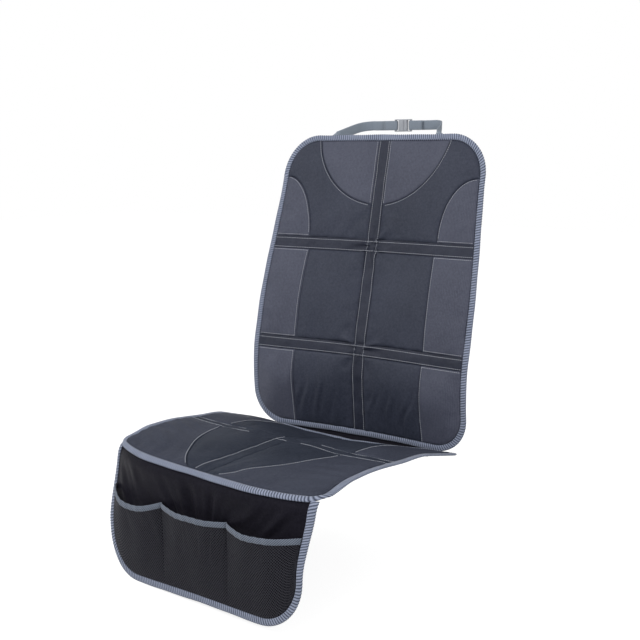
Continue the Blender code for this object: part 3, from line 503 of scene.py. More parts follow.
def cut_cells(outline, step):
    """A flat mesh of small cells that fills an outline."""
    flat = bmesh.new()
    flat.faces.new([flat.verts.new((u, s, 0.0)) for u, s in outline])
    reach = np.array(outline)
    for axis in (0, 1):
        low, high = reach[:, axis].min(), reach[:, axis].max()
        count = max(1, int(round((high - low) / step)))
        for k in range(1, count):
            place, normal = [0.0, 0.0, 0.0], [0.0, 0.0, 0.0]
            place[axis] = low + (high - low) * k / count
            normal[axis] = 1.0
            everything = flat.verts[:] + flat.edges[:] + flat.faces[:]
            bmesh.ops.bisect_plane(flat, geom=everything, dist=1e-6, plane_co=place, plane_no=normal)
    uneven = [face for face in flat.faces if len(face.verts) > 4]
    bmesh.ops.triangulate(flat, faces=uneven)
    return flat


def flat_places(flat):
    """Number the points of a flat mesh and return their places across and along."""
    flat.verts.index_update()
    return np.array([v.co[:2] for v in flat.verts])


def layered_piece(name, flat, upper, lower, material, uvs, node, sharp=50):
    """The closed body between two copies of a flat mesh, in the place of a solid."""
    count = len(flat.verts)
    faces = []
    for face in flat.faces:
        ids = [v.index for v in face.verts]
        faces.append([i + count for i in ids])
        faces.append(ids[::-1])
    for side in flat.edges:
        if side.is_boundary:
            corner = side.link_loops[0]
            a, b = corner.vert.index, corner.link_loop_next.vert.index
            faces.append([b + count, a + count, a, b])
    flat.free()
    item = finish_piece(name, np.concatenate([lower, upper]), faces, material,
                        np.concatenate([uvs, uvs]), sharp)
    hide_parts(node)
    return item


def rounded_field(half, start, end, start_radius, end_radius):
    near, far = start + start_radius, end - end_radius
    return (arc(-half + start_radius, near, start_radius, 180, 270)
            + arc(half - start_radius, near, start_radius, 270, 360)
            + arc(half - end_radius, far, end_radius, 0, 90)
            + arc(-half + end_radius, far, end_radius, 90, 180))


def quarter(half_width, depth, centre, power, start_u, end_s, steps=26):
    """A quarter of a rounded curve, from its nose by the centre strip to its side."""
    s_start = depth * (1 - (start_u / half_width) ** power) ** (1 / power)
    points = []
    for k in range(steps + 1):
        s = s_start + (end_s - s_start) * (k / steps) ** 1.6
        points.append((half_width * (1 - (s / depth) ** power) ** (1 / power), centre + s))
    return points


def mirrored(outline):
    return [(-u, s) for u, s in reversed(outline)]


# Materials
def new_material(name):
    material = bpy.data.materials.new(name)
    material.use_nodes = True
    tree = material.node_tree
    return material, tree, tree.nodes["Principled BSDF"]


def set_inputs(node, **values):
    for key, value in values.items():
        node.inputs[key.replace("_", " ")].default_value = value


def math_node(tree, operation, a, b):
    node = tree.nodes.new("ShaderNodeMath")
    node.operation = operation
    for socket, value in zip(node.inputs, (a, b)):
        if isinstance(value, (int, float)):
            socket.default_value = value
        else:
            tree.links.new(value, socket)
    return node.outputs[0]


def add_share(tree, total, value, weight):
    return math_node(tree, "ADD", total, math_node(tree, "MULTIPLY", value, weight))


def flat_coordinates(tree):
    node = tree.nodes.new("ShaderNodeUVMap")
    node.uv_map = "flat"
    return node.outputs["UV"]


def stripe(tree, coordinates, direction, pitch):
    """A soft stripe of a real pitch in metres, from 0 to 1."""
    node = tree.nodes.new("ShaderNodeTexWave")
    node.wave_type = "BANDS"
    node.bands_direction = direction
    node.wave_profile = "SIN"
    set_inputs(node, Scale=0.31416 / pitch, Distortion=0.0)
    tree.links.new(coordinates, node.inputs["Vector"])
    return node.outputs["Fac"]


def grain(tree, scale, detail):
    """Noise that is fixed to the object."""
    node = tree.nodes.new("ShaderNodeTexNoise")
    set_inputs(node, Scale=scale, Detail=detail)
    tree.links.new(tree.nodes.new("ShaderNodeTexCoord").outputs["Object"], node.inputs["Vector"])
    return node.outputs["Fac"]


def colour(tree, shader, share, dark, light):
    mix = tree.nodes.new("ShaderNodeMix")
    mix.data_type = "RGBA"
    mix.inputs[6].default_value = (*dark, 1)
    mix.inputs[7].default_value = (*light, 1)
    tree.links.new(share, mix.inputs[0])
    tree.links.new(mix.outputs[2], shader.inputs["Base Color"])


def uneven_roughness(tree, shader, noise, roughness, spread):
    tree.links.new(add_share(tree, roughness - spread / 2, noise, spread), shader.inputs["Roughness"])


def bump(tree, shader, height, strength, distance):
    node = tree.nodes.new("ShaderNodeBump")
    set_inputs(node, Strength=strength, Distance=distance)
    tree.links.new(height, node.inputs["Height"])
    tree.links.new(node.outputs["Normal"], shader.inputs["Normal"])


def cloth_material(name, dark, light, roughness, pitch, specular, ribs=None, sheen=0.0):
    """Woven cloth: over-and-under yarns, uneven dye and, on the light panels, ribs."""
    material, tree, shader = new_material(name)
    flat = flat_coordinates(tree)
    weave = math_node(tree, "MAXIMUM", stripe(tree, flat, "X", pitch), stripe(tree, flat, "Y", pitch))
    broad, fine, speck = grain(tree, 7.0, 3.0), grain(tree, 260.0, 2.0), grain(tree, 760.0, 1.0)
    share = add_share(tree, 0.28, weave, 0.30)
    for noise, weight in ((broad, 1.10), (fine, 0.90), (speck, 0.75)):
        share = add_share(tree, share, math_node(tree, "SUBTRACT", noise, 0.5), weight)
    if ribs:
        rib = stripe(tree, flat, "X", ribs)
        share = add_share(tree, share, math_node(tree, "SUBTRACT", rib, 0.5), 0.28)
        weave = add_share(tree, weave, rib, 1.6)
    colour(tree, shader, share, dark, light)
    uneven_roughness(tree, shader, broad, roughness, 0.14)
    set_inputs(shader, Sheen_Weight=sheen, Sheen_Roughness=0.45, Specular_IOR_Level=specular)
    bump(tree, shader, add_share(tree, weave, fine, 0.8), 0.6, 0.00022)
    return material


def twill_material(name, dark, light, pitch, lean=0.0):
    """Tape or webbing: twill ribs with a painted highlight on the crests and painted shade in the grooves.
    """
    material, tree, shader = new_material(name)
    flat = flat_coordinates(tree)
    turn = tree.nodes.new("ShaderNodeMapping")
    set_inputs(turn, Rotation=(0, 0, lean))
    tree.links.new(flat, turn.inputs["Vector"])
    rib = stripe(tree, turn.outputs["Vector"], "X", pitch)
    thread = stripe(tree, flat, "Y", pitch * 0.35)
    # The rib sets the colour: painted highlight on the crests and painted shade in the grooves; threads and
    # grain are the tape's own tone.
    share = add_share(tree, -0.18, math_node(tree, "POWER", rib, 0.8), 0.95)
    share = add_share(tree, share, thread, 0.08)
    share = add_share(tree, share, grain(tree, 40.0, 4.0), 0.30)
    colour(tree, shader, share, dark, light)
    set_inputs(shader, Roughness=0.82, Sheen_Weight=0.20, Specular_IOR_Level=0.25)
    bump(tree, shader, add_share(tree, rib, thread, 0.25), 0.7, 0.0005)
    return material


def plain_material(name, dark, light, roughness, scale, depth, sheen=0.0, specular=0.25):
    """Thread or moulded plastic: a fine grain with slight colour variation."""
    material, tree, shader = new_material(name)
    noise = grain(tree, scale, 4.0)
    colour(tree, shader, noise, dark, light)
    uneven_roughness(tree, shader, noise, roughness, 0.12)
    set_inputs(shader, Specular_IOR_Level=specular, Sheen_Weight=sheen)
    bump(tree, shader, noise, 0.5, depth)
    return material


DARK = cloth_material("dark_quilt_cloth", (0.024, 0.029, 0.046), (0.060, 0.067, 0.098),
                      0.42, 0.0011, 0.15)
# The back's fold bands get a darker copy of the quilt cloth: painted shade for the recessed bands.
BAND = cloth_material("band_cloth_painted_shade", (0.018, 0.021, 0.034), (0.044, 0.049, 0.074),
                      0.40, 0.0010, 0.15)
LIGHT = cloth_material("light_ribbed_cloth", (0.060, 0.065, 0.094), (0.110, 0.118, 0.162),
                       0.42, 0.0011, 0.15, ribs=0.0031)
SEAT_DARK = cloth_material("dark_seat_cloth", (0.023, 0.028, 0.041), (0.059, 0.067, 0.092),
                           0.48, 0.0011, 0.009)
# The seat's light cloth is a darker copy of the back's light cloth: painted shade on the seat.
SHADED_SEAT_LIGHT = cloth_material("light_seat_cloth_painted_shade", (0.042, 0.047, 0.067), (0.080, 0.088, 0.119),
                            0.48, 0.0011, 0.009, ribs=0.0031)
BACKING = cloth_material("backing_cloth_plain", (0.022, 0.024, 0.030), (0.052, 0.055, 0.066),
                         0.85, 0.0016, 0.012, sheen=0.05)
FLAP = cloth_material("black_flap_cloth", (0.005, 0.0045, 0.008), (0.018, 0.017, 0.025),
                      0.42, 0.0010, 0.03)
TAPE = twill_material("twill_binding_tape", (0.034, 0.044, 0.078), (0.385, 0.432, 0.565), TWILL_PITCH)
HEM = twill_material("twill_hem_tape", (0.050, 0.062, 0.090), (0.240, 0.280, 0.350), HEM_PITCH)
WEBBING = twill_material("woven_webbing", (0.255, 0.300, 0.365), (0.370, 0.425, 0.500), 0.0013,
                         lean=math.radians(12))
THREAD = plain_material("stitching_thread", (0.360, 0.380, 0.440), (0.560, 0.580, 0.640),
                        0.70, 420.0, 0.0001, sheen=0.1)
NET = plain_material("pocket_net_yarn", (0.030, 0.030, 0.038), (0.070, 0.071, 0.088),
                     0.50, 500.0, 0.0001, specular=0.15)
PLASTIC = plain_material("buckle_plastic_grain", (0.360, 0.380, 0.420), (0.480, 0.500, 0.540),
                         0.42, 220.0, 0.00008, specular=0.5)

# What the panels of each section lie on and are made of
Section = namedtuple("Section", "datum relief dark light band band_top")
SECTIONS = {"back": Section(back_datum, back_relief, DARK, LIGHT, BAND, band_top),
            "seat": Section(seat_datum, seat_relief, SEAT_DARK, SHADED_SEAT_LIGHT, SEAT_DARK, seat_band_top)}


def section_of(node):
    return SECTIONS[node.split("_")[0]]


def cloth_panel(node, outline, profile, material, step=PANEL_CELL):
    """A sewn panel that stands for the solid of the same name."""
    datum, relief = section_of(node).datum, section_of(node).relief
    inner = shrink(without_repeats(outline), GAP / 2)
    flat = cut_cells(inner, step)
    where = flat_places(flat)
    distance, place = edge_distance(where, inner)
    u, s = where.T
    height = np.maximum(profile(distance, place, u, s) + relief(u, s), LEAST_COVER)
    return layered_piece(node + "_cover", flat, lift(datum, u, s, height), lift(datum, u, s, PAD_BASE),
                         material, where, node)


def pads(node, outline, seed):
    """A padded panel on the right and its mirror image on the left."""
    kind = "light" if "inlay" in node else "dark"
    material = getattr(section_of(node), kind)
    for side, shape in (("_right", outline), ("_left", mirrored(outline))):
        profile = lambda d, t, u, s, k=seed + len(side): pad_height(d, t, k)
        item = cloth_panel(node + side, shape, profile, material)


def band(node, half, start, end):
    """A flat fold band across a section, or the narrow strip down its middle."""
    section = section_of(node)
    level = (start, end) if half > STRIP_HALF else (None, None)

    def profile(distance, place, u, s):
        return section.band_top(u, s, *level) - 0.0008 * (1 - roll(distance, 0.0015))

    # On the back the band cloth is the darker copy of the quilt cloth, painted shade.
    item = cloth_panel(node, rectangle(-half, half, start, end), profile, section.band,
                       step=BAND_CELL)


def backing(node, outline, dents):
    """The plain cloth underneath, drawn in slightly along the seams sewn through it."""
    datum = section_of(node).datum
    flat = cut_cells(shrink(without_repeats(outline), -CLOTH_IN_TAPE), BACKING_CELL)
    where = flat_places(flat)
    u, s = where.T
    draw = np.zeros(len(u))
    for axis, place in dents:
        draw = np.maximum(draw, np.exp(-((where[:, axis] - place) / 0.004) ** 2))
    return layered_piece(node + "_sheet", flat, lift(datum, u, s, BACKING_THICKNESS),
                         lift(datum, u, s, 0.0004 * draw), BACKING, where, node)


# Panels of the back section
BACK_TOP = TAPE_WIDTH
BACK_BOTTOM = BACK_LENGTH - TAPE_WIDTH
TOP_TURN = BACK_TOP_RADIUS - TAPE_WIDTH
BOTTOM_TURN = BACK_BOTTOM_RADIUS - TAPE_WIDTH
BACK_FIELD = rounded_field(FIELD_HALF, BACK_TOP, BACK_BOTTOM, TOP_TURN, BOTTOM_TURN)
TOP_CURVE = quarter(TOP_INLAY_HALF_WIDTH, TOP_INLAY_DEPTH, TOP_INLAY_CENTRE, 2.0, STRIP_HALF,
                    BACK_TOP - TOP_INLAY_CENTRE)
LAST_TURN = math.acos((SIDE_INLAY_CENTRE - UPPER_BAND[0]) / SIDE_INLAY_RISE)
SIDE_CURVE = [(FIELD_HALF - SIDE_INLAY_REACH * math.sin(t),
               SIDE_INLAY_CENTRE - SIDE_INLAY_RISE * math.cos(t)) for t in np.linspace(0.0, LAST_TURN, 27)]
MIDDLE_ROW = (UPPER_BAND[1], LOWER_BAND[0])
LOWER_ROW = (LOWER_BAND[1], BACK_BOTTOM)

pads("back_top_inlay", [(STRIP_HALF, BACK_TOP)] + TOP_CURVE[::-1], 100)
pads("back_pad_upper", [(STRIP_HALF, UPPER_BAND[0])] + TOP_CURVE
     + arc(FIELD_HALF - TOP_TURN, BACK_TOP + TOP_TURN, TOP_TURN, 270, 360) + SIDE_CURVE, 110)
pads("back_inlay_upper", SIDE_CURVE[::-1] + [(FIELD_HALF, UPPER_BAND[0])], 120)
pads("back_pad_middle", rectangle(STRIP_HALF, SIDE_SEAM, *MIDDLE_ROW), 130)
pads("back_pad_lower", rectangle(STRIP_HALF, SIDE_SEAM, *LOWER_ROW), 140)
pads("back_inlay_middle", rectangle(SIDE_SEAM, FIELD_HALF, *MIDDLE_ROW), 150)
pads("back_inlay_lower", [(SIDE_SEAM, LOWER_BAND[1]), (FIELD_HALF, LOWER_BAND[1])]
     + arc(FIELD_HALF - BOTTOM_TURN, BACK_BOTTOM - BOTTOM_TURN, BOTTOM_TURN, 0, 90)
     + [(SIDE_SEAM, BACK_BOTTOM)], 160)
band("back_upper_band", FIELD_HALF, *UPPER_BAND)
band("back_lower_band", FIELD_HALF, *LOWER_BAND)
band("back_centre_strip_upper", STRIP_HALF, BACK_TOP, UPPER_BAND[0])
band("back_centre_strip_middle", STRIP_HALF, *MIDDLE_ROW)
band("back_centre_strip_lower", STRIP_HALF, *LOWER_ROW)
backing("back_backing", BACK_FIELD,
                 [(0, u) for u in (-STRIP_HALF, STRIP_HALF, -SIDE_SEAM, SIDE_SEAM)]
                 + [(1, s) for s in UPPER_BAND + LOWER_BAND])

# Panels of the seat section
SEAT_REAR = TAPE_WIDTH
SEAT_FRONT = SEAT_LENGTH - TAPE_WIDTH
REAR_TURN = SEAT_REAR_RADIUS - TAPE_WIDTH
FRONT_TURN = SEAT_FRONT_RADIUS - TAPE_WIDTH
SEAT_FIELD = rounded_field(FIELD_HALF, SEAT_REAR, SEAT_FRONT, REAR_TURN, FRONT_TURN)
curve = quarter(FRONT_CURVE_HALF_WIDTH, FRONT_CURVE_DEPTH, FRONT_CURVE_CENTRE, FRONT_CURVE_POWER,
                FRONT_CURVE_NOSE, CROSS_BAND[1] - FRONT_CURVE_CENTRE)
meet = 1 - ((SEAT_FRONT - FRONT_CURVE_CENTRE) / FRONT_CURVE_DEPTH) ** FRONT_CURVE_POWER
FRONT_CURVE = ([(FRONT_CURVE_HALF_WIDTH * meet ** (1 / FRONT_CURVE_POWER), SEAT_FRONT)]
               + [point for point in curve if point[1] < SEAT_FRONT - 0.004])

pads("seat_pad_rear", rectangle(STRIP_HALF, SIDE_SEAM, SEAT_REAR, CROSS_BAND[0]), 200)
pads("seat_inlay_rear", [(SIDE_SEAM, SEAT_REAR)]
     + arc(FIELD_HALF - REAR_TURN, SEAT_REAR + REAR_TURN, REAR_TURN, 270, 360)
     + [(FIELD_HALF, CROSS_BAND[0]), (SIDE_SEAM, CROSS_BAND[0])], 210)
pads("seat_pad_front", [(STRIP_HALF, CROSS_BAND[1]), (STRIP_HALF, SEAT_FRONT)] + FRONT_CURVE, 220)
pads("seat_inlay_front", FRONT_CURVE[::-1]
     + arc(FIELD_HALF - FRONT_TURN, SEAT_FRONT - FRONT_TURN, FRONT_TURN, 0, 90)[::-1]
     + [(FIELD_HALF, CROSS_BAND[1])], 230)
band("seat_cross_band", FIELD_HALF, *CROSS_BAND)
band("seat_centre_strip_rear", STRIP_HALF, SEAT_REAR, CROSS_BAND[0])
band("seat_centre_strip_front", STRIP_HALF, CROSS_BAND[1], SEAT_FRONT)
backing("seat_backing", SEAT_FIELD,
                 [(0, -STRIP_HALF), (0, STRIP_HALF), (1, CROSS_BAND[0]), (1, CROSS_BAND[1])])


# Binding tape
def resample(path, step, closed):
    """Evenly spaced points along a path in the flat."""
    points = np.array(path + [path[0]] if closed else path)
    length = lengths_along(points)
    count = max(2, int(round(length[-1] / step)))
    places = np.linspace(0, length[-1], count + 1)
    if closed:
        places = places[:-1]
    return np.stack([np.interp(places, length, points[:, k]) for k in (0, 1)], axis=1), places


def flattened(values, power):
    """Sines or cosines, changed so that a circle becomes a flatter oval."""
    return np.sign(values) * abs(values) ** power


def tape_section(height, parts=14):
    """Rounded section of a folded tape, as shares of turn, reach and rise."""
    turns = np.linspace(-0.75 * math.pi, 1.25 * math.pi, parts, endpoint=False)
    half = (TAPE_WIDTH - GAP / 2) / 2
    reach = GAP / 2 + half * (1 + flattened(np.cos(turns), 0.75))
    rise = height / 2 * (1 + flattened(np.sin(turns), 0.80))
    return turns, reach, rise


def ring_faces(size, count, closed=False):
    """Faces of a tube made of rings of points, with its ends capped unless it is closed."""
    faces = []
    for i in range(count if closed else count - 1):
        j = (i + 1) % count
        for k in range(size):
            n = (k + 1) % size
            faces.append((i * size + k, i * size + n, j * size + n, j * size + k))
    if not closed:
        faces.append(tuple(range(size))[::-1])
        faces.append(tuple((count - 1) * size + k for k in range(size)))
    return faces


def binding(node, path, datum, height, closed, relief=None):
    """Tape folded over an edge, with the twill's ribs raised on it."""
    path, places = resample(without_repeats(path), TAPE_STEP, closed)
    before = path - np.roll(path, 1, axis=0)
    after = np.roll(path, -1, axis=0) - path
    if not closed:
        before[0], after[-1] = after[0], before[-1]
    along = unit(unit(before) + unit(after))
    normal = np.stack([along[:, 1], -along[:, 0]], axis=1)
    turns, reach, rise = tape_section(height)
    size, count = len(turns), len(path)
    phase = places[:, None] + TWILL_PITCH * TWILL_LEAN * turns / math.pi
    rib = 0.5 + 0.5 * np.cos(2 * math.pi * phase / TWILL_PITCH)
    swell = TWILL_RELIEF * (rib ** 0.7 - 0.55)
    wobble = 0.00035 * np.sin(places / 0.031) + 0.00025 * np.sin(places / 0.013 + 1)
    heave = relief(*path.T)[:, None] * rise / height if relief else 0.0
    lift_by = np.maximum(rise + swell * np.sin(turns), 0.0) + heave
    reach_by = np.minimum(reach + swell * np.cos(turns), TAPE_WIDTH + 0.0006)
    reach_by = np.maximum(reach_by, GAP / 2) + wobble[:, None] * (reach / TAPE_WIDTH)
    u = path[:, None, 0] + reach_by * normal[:, None, 0]
    s = path[:, None, 1] + reach_by * normal[:, None, 1]
    girth = np.broadcast_to(turns / (2 * math.pi) * TAPE_GIRTH, (count, size))
    item = finish_piece(node + "_tape", lift(datum, u, s, lift_by).reshape(-1, 3),
                        ring_faces(size, count, closed), TAPE,
                        np.stack([phase, girth], axis=-1).reshape(-1, 2), sharp=None)
    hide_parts(node)


def rear_tape_rise(u, s):
    """The seat's rear tape stands up a little in the crease, less where it is pinched at the middle."""
    pinch = 0.35 * np.exp(-(u / 0.020) ** 2)
    return REAR_TAPE_RISE * (1 - smooth(s, 0.010, 0.030)) * (1 - smooth(abs(u), 0.150, 0.215)) * (1 - pinch)


FLAP_CORNER_S = POCKET_BOTTOM - FLAP_RADIUS
FLAP_TOP = SEAT_LENGTH - 0.0020
FLAP_EDGE = ([(FLAP_FIELD_HALF, FLAP_TOP)]
             + arc(FLAP_FIELD_HALF - FLAP_RADIUS, FLAP_CORNER_S, FLAP_RADIUS, 0, 90)
             + arc(-FLAP_FIELD_HALF + FLAP_RADIUS, FLAP_CORNER_S, FLAP_RADIUS, 90, 180)
             + [(-FLAP_FIELD_HALF, FLAP_TOP)])
binding("back_binding", BACK_FIELD, back_datum, TAPE_HEIGHT, True)
binding("seat_binding", SEAT_FIELD, seat_datum, SEAT_TAPE_HEIGHT, True, rear_tape_rise)
binding("flap_binding", FLAP_EDGE, seat_datum, FLAP_TAPE_HEIGHT, False)


# Stitching
def stitch_run(datum, path, height_at):
    """Points and faces of one run of stitches along a path in the flat."""
    points = resample(path, STITCH_PITCH, False)[0]
    middle = (points[1:] + points[:-1]) / 2
    along = unit(np.diff(points, axis=0))
    ends, rises = [], []
    for share, arch in ((-0.5, 0.0), (-0.3, STITCH_ARCH), (0.3, STITCH_ARCH), (0.5, 0.0)):
        u, s = (middle + along * STITCH_LENGTH * share).T
        rises.append(np.maximum(height_at(u, s), LEAST_COVER) + arch)
        ends.append(lift(datum, u, s, rises[-1]))
    run = unit(ends[3] - ends[0])
    up = lift(datum, *middle.T, rises[1] + 0.001) - (ends[1] + ends[2]) / 2
    across = unit(np.cross(run, up))
    up = np.cross(across, run)
    vertices, faces = [], []
    for i in range(len(middle)):
        base = len(vertices)
        vertices.append(ends[0][i])
        for ring in ends[1:3]:
            for turn in np.linspace(0, 2 * math.pi, STITCH_SIDES, endpoint=False):
                outward = math.cos(turn) * across[i] + math.sin(turn) * up[i]
                vertices.append(ring[i] + STITCH_RADIUS * outward)
        vertices.append(ends[3][i])
        near, far = base + 1, base + 1 + STITCH_SIDES
        for k in range(STITCH_SIDES):
            n = (k + 1) % STITCH_SIDES
            faces.append((base, near + n, near + k))
            faces.append((near + k, near + n, far + n, far + k))
            faces.append((far + k, far + n, far + STITCH_SIDES))
    return vertices, faces


def stitching(name, datum, runs):
    """Several runs of stitches as one piece."""
    vertices, faces = [], []
    for path, height_at in runs:
        more, cells = stitch_run(datum, path, height_at)
        faces += [tuple(k + len(vertices) for k in cell) for cell in cells]
        vertices += more
    finish_piece(name, vertices, faces, THREAD, np.zeros((len(vertices), 2)), sharp=None)


def inset_line(path, distance):
    """A path moved to its left by a distance, in the flat."""
    here = np.array(path)
    way = unit(np.gradient(here, axis=0))
    return [tuple(p) for p in here + distance * np.stack([-way[:, 1], way[:, 0]], axis=1)]


def on_pad(relief):
    edge = np.array([STITCH_IN])
    level = float(pad_height(edge, 0 * edge, 1)[0]) - 0.0001
    return lambda u, s: level + relief(u, s)


def on_band(top, relief, start=None, end=None):
    return lambda u, s: top(u, s, start, end) + relief(u, s)


def across(left, right, s):
    return [(left, s), (right, s)]


def down(u, start, end):
    return [(u, start), (u, end)]


def both(path):
    return [path, [(-u, s) for u, s in path]]


BAND_REACH = FIELD_HALF - BAND_LINE_END
PAD_REACH = FIELD_HALF - PAD_LINE_END
back_runs = [(across(-BAND_REACH, BAND_REACH, line), on_band(band_top, back_relief, start, end))
             for start, end in (UPPER_BAND, LOWER_BAND)
             for line in (start + BAND_STITCH_IN, end - STITCH_IN)]
back_runs += [(path, on_band(band_top, back_relief))
              for path in both(down(STRIP_HALF - STITCH_IN, BACK_TOP + BAND_LINE_END,
                                    BACK_BOTTOM - BAND_LINE_END))]
pad_lines = [inset_line(TOP_CURVE, STITCH_IN)[1:], inset_line(SIDE_CURVE, -STITCH_IN)[1:-1]]
pad_lines += [down(SIDE_SEAM + STITCH_IN, start + PAD_LINE_END, end - PAD_LINE_END)
              for start, end in (MIDDLE_ROW, LOWER_ROW)]
pad_lines += [across(left + PAD_LINE_END, PAD_REACH, line)
              for left, line in ((SIDE_SEAM, MIDDLE_ROW[0] + STITCH_IN),
                                 (SIDE_SEAM, MIDDLE_ROW[1] - STITCH_IN),
                                 (SIDE_SEAM, LOWER_ROW[0] + STITCH_IN),
                                 (SIDE_CURVE[-1][0], UPPER_BAND[0] - STITCH_IN))]
pad_lines.append(down(-STRIP_HALF - STITCH_IN, BACK_TOP + PAD_LINE_END,
                      TOP_INLAY_CENTRE + TOP_INLAY_DEPTH - 0.003))
back_runs += [(path, on_pad(back_relief)) for line in pad_lines for path in both(line)]
stitching("back_stitching", back_datum, back_runs)

# The two lines along the seat's band are sewn in separate runs
rear_line, front_line = CROSS_BAND[0] + STITCH_IN, CROSS_BAND[1] - STITCH_IN
seat_runs = [(across(left, right, line), on_band(seat_band_top, seat_relief, *CROSS_BAND))
             for left, right, line in ((-BAND_REACH, -0.075, front_line), (-BAND_REACH, -0.100, rear_line),
                                       (-STRIP_HALF + STITCH_IN, STRIP_HALF, front_line),
                                       (0.045, BAND_REACH, front_line), (0.075, BAND_REACH, rear_line))]
seat_runs.append((down(-STRIP_HALF + STITCH_IN, CROSS_BAND[0], SEAT_FRONT - BAND_LINE_END),
                  on_band(seat_band_top, seat_relief)))
pad_lines = [inset_line(FRONT_CURVE, STITCH_IN)[1:-1],
             down(SIDE_SEAM + STITCH_IN, SEAT_REAR + PAD_LINE_END, CROSS_BAND[0] - PAD_LINE_END),
             across(FRONT_CURVE[-1][0] + PAD_LINE_END, PAD_REACH, CROSS_BAND[1] + STITCH_IN)]
seat_runs += [(path, on_pad(seat_relief)) for line in pad_lines for path in both(line)]
stitching("seat_stitching", seat_datum, seat_runs)


# Flap, pockets and hems
def flap_fold(u, s):
    """Soft folds in the part of the flap above the pockets."""
    hung = s - SEAT_LENGTH
    fall = smooth(hung, 0.004, 0.030) * (1 - smooth(s, 0.545, 0.600))
    side = 1 - smooth(abs(u), 0.170, 0.212)
    drift = u - 0.75 * hung * smooth(-u, -0.05, 0.12) + 0.9 * hung * smooth(u, 0.0, 0.1)
    drift = drift + 0.008 * waves(u, s, 31, 0.12)
    fold = ripple(drift, 0.063) + 0.6 * ripple(drift, 0.034, 1.3)
    under = (FLAP_THICKNESS + GAP) * (1 - smooth(hung, -0.001, 0.008))
    return fall * side * (FLAP_FOLD * fold * (0.6 + 0.4 * waves(u, s, 32, 0.2)) - 0.0012) - under


def pocket_bottom(u):
    inset = np.maximum(0.0, abs(u) - (FLAP_FIELD_HALF - FLAP_RADIUS))
    return FLAP_CORNER_S + np.sqrt(np.maximum(0.0, (FLAP_RADIUS - 0.0008) ** 2 - inset ** 2))


def pocket_mouth(side, share):
    return SEAT_LENGTH + POCKET_MOUTH + POCKET_SAGS[side] * np.sin(math.pi * share)


def pocket_depth(share, fall):
    """How far the net stands off the flap: it gapes at its mouth, and loose waves run down it."""
    share, fall = np.clip(share, 0, 1), np.clip(fall, 0, 1)
    middle = np.clip(np.sin(math.pi * share), 0, 1)
    slack = NET_SLACK * middle * (1 - fall ** 3) * (1 + 0.9 * np.sin(2 * math.pi * share * 2.3 + 3 * fall))
    return 0.0022 + POCKET_GAPE * middle ** 0.7 * (1 - fall) ** 0.8 - slack


def net_cells(width, height):
    """A flat net of diamonds over a rectangle, trimmed to its edges."""
    flat = bmesh.new()
    cell_across, cell_down = NET_CELL
    columns, rows = int(width / cell_across) + 2, int(height / cell_down) + 2
    made = {}

    def corner(x, y):
        key = (round(x, 7), round(y, 7))
        if key not in made:
            made[key] = flat.verts.new((x, y, 0.0))
        return made[key]

    for i in range(-1, 2 * rows):
        for j in range(-1, columns):
            x = (j + (0.5 if i % 2 else 0.0)) * cell_across
            y = i * cell_down / 2
            ring = [(x, y - cell_down / 2), (x + cell_across / 2, y),
                    (x, y + cell_down / 2), (x - cell_across / 2, y)]
            if any(max(p[k] for p in ring) < 0 or min(p[k] for p in ring) > limit
                   for k, limit in ((0, width), (1, height))):
                continue
            outer = [corner(*p) for p in ring]
            hole = [flat.verts.new((x + (p[0] - x) * NET_OPEN_SHARE, y + (p[1] - y) * NET_OPEN_SHARE, 0.0))
                    for p in ring]
            for k in range(4):
                n = (k + 1) % 4
                flat.faces.new((outer[k], outer[n], hole[n], hole[k]))
    for place, normal in (((0, 0, 0), (-1, 0, 0)), ((width, 0, 0), (1, 0, 0)),
                          ((0, 0, 0), (0, -1, 0)), ((0, height, 0), (0, 1, 0))):
        everything = flat.verts[:] + flat.edges[:] + flat.faces[:]
        bmesh.ops.bisect_plane(flat, geom=everything, dist=1e-6, plane_co=place, plane_no=normal,
                               clear_outer=True)
    bmesh.ops.delete(flat, geom=[v for v in flat.verts if not v.link_faces], context="VERTS")
    return flat


def net_pocket(side, left, right):
    """The net of one pocket, with its flat size and the area of its yarn."""
    width, height = right - left, POCKET_BOTTOM - SEAT_LENGTH - POCKET_MOUTH
    flat = net_cells(width, height)
    where = flat_places(flat)
    yarn = sum(face.calc_area() for face in flat.faces)
    yarn += sum(side.calc_length() for side in flat.edges if side.is_boundary) * NET_THICKNESS / 2
    share, fall = where[:, 0] / width, where[:, 1] / height
    u, mouth = left + width * share, pocket_mouth(side, share)
    s = mouth + (pocket_bottom(u) - mouth) * fall
    depth = pocket_depth(share, fall) + NET_CLEARANCE
    item = layered_piece("pocket_net_" + side, flat, lift(seat_datum, u, s, depth + NET_THICKNESS),
                         lift(seat_datum, u, s, depth), NET, np.stack([u, s], axis=1),
                         "pocket_" + side, sharp=30)
    return item, (width, height), yarn


def swept_strip(name, node, centre, across_way, out_way, half_width, half_thick, material, ribs=0.0):
    """A flat tape with rounded edges, along a line of points with its own directions."""
    turns = np.linspace(0, 2 * math.pi, 14, endpoint=False)
    wide = half_width * flattened(np.cos(turns), 0.55)
    thick = half_thick * flattened(np.sin(turns), 0.75)
    phase = lengths_along(centre)[:, None] + wide
    thick = thick * (1 + ribs * np.cos(2 * math.pi * phase / HEM_PITCH))
    points = (centre[:, None, :] + wide[:, None] * across_way[:, None, :]
              + thick[:, :, None] * out_way[:, None, :])
    uvs = np.stack([phase if ribs else phase - wide, np.broadcast_to(wide, phase.shape)], axis=-1)
    item = finish_piece(name, points.reshape(-1, 3), ring_faces(len(turns), len(centre)), material,
                        uvs.reshape(-1, 2), sharp=None)
    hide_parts(node)
    return item


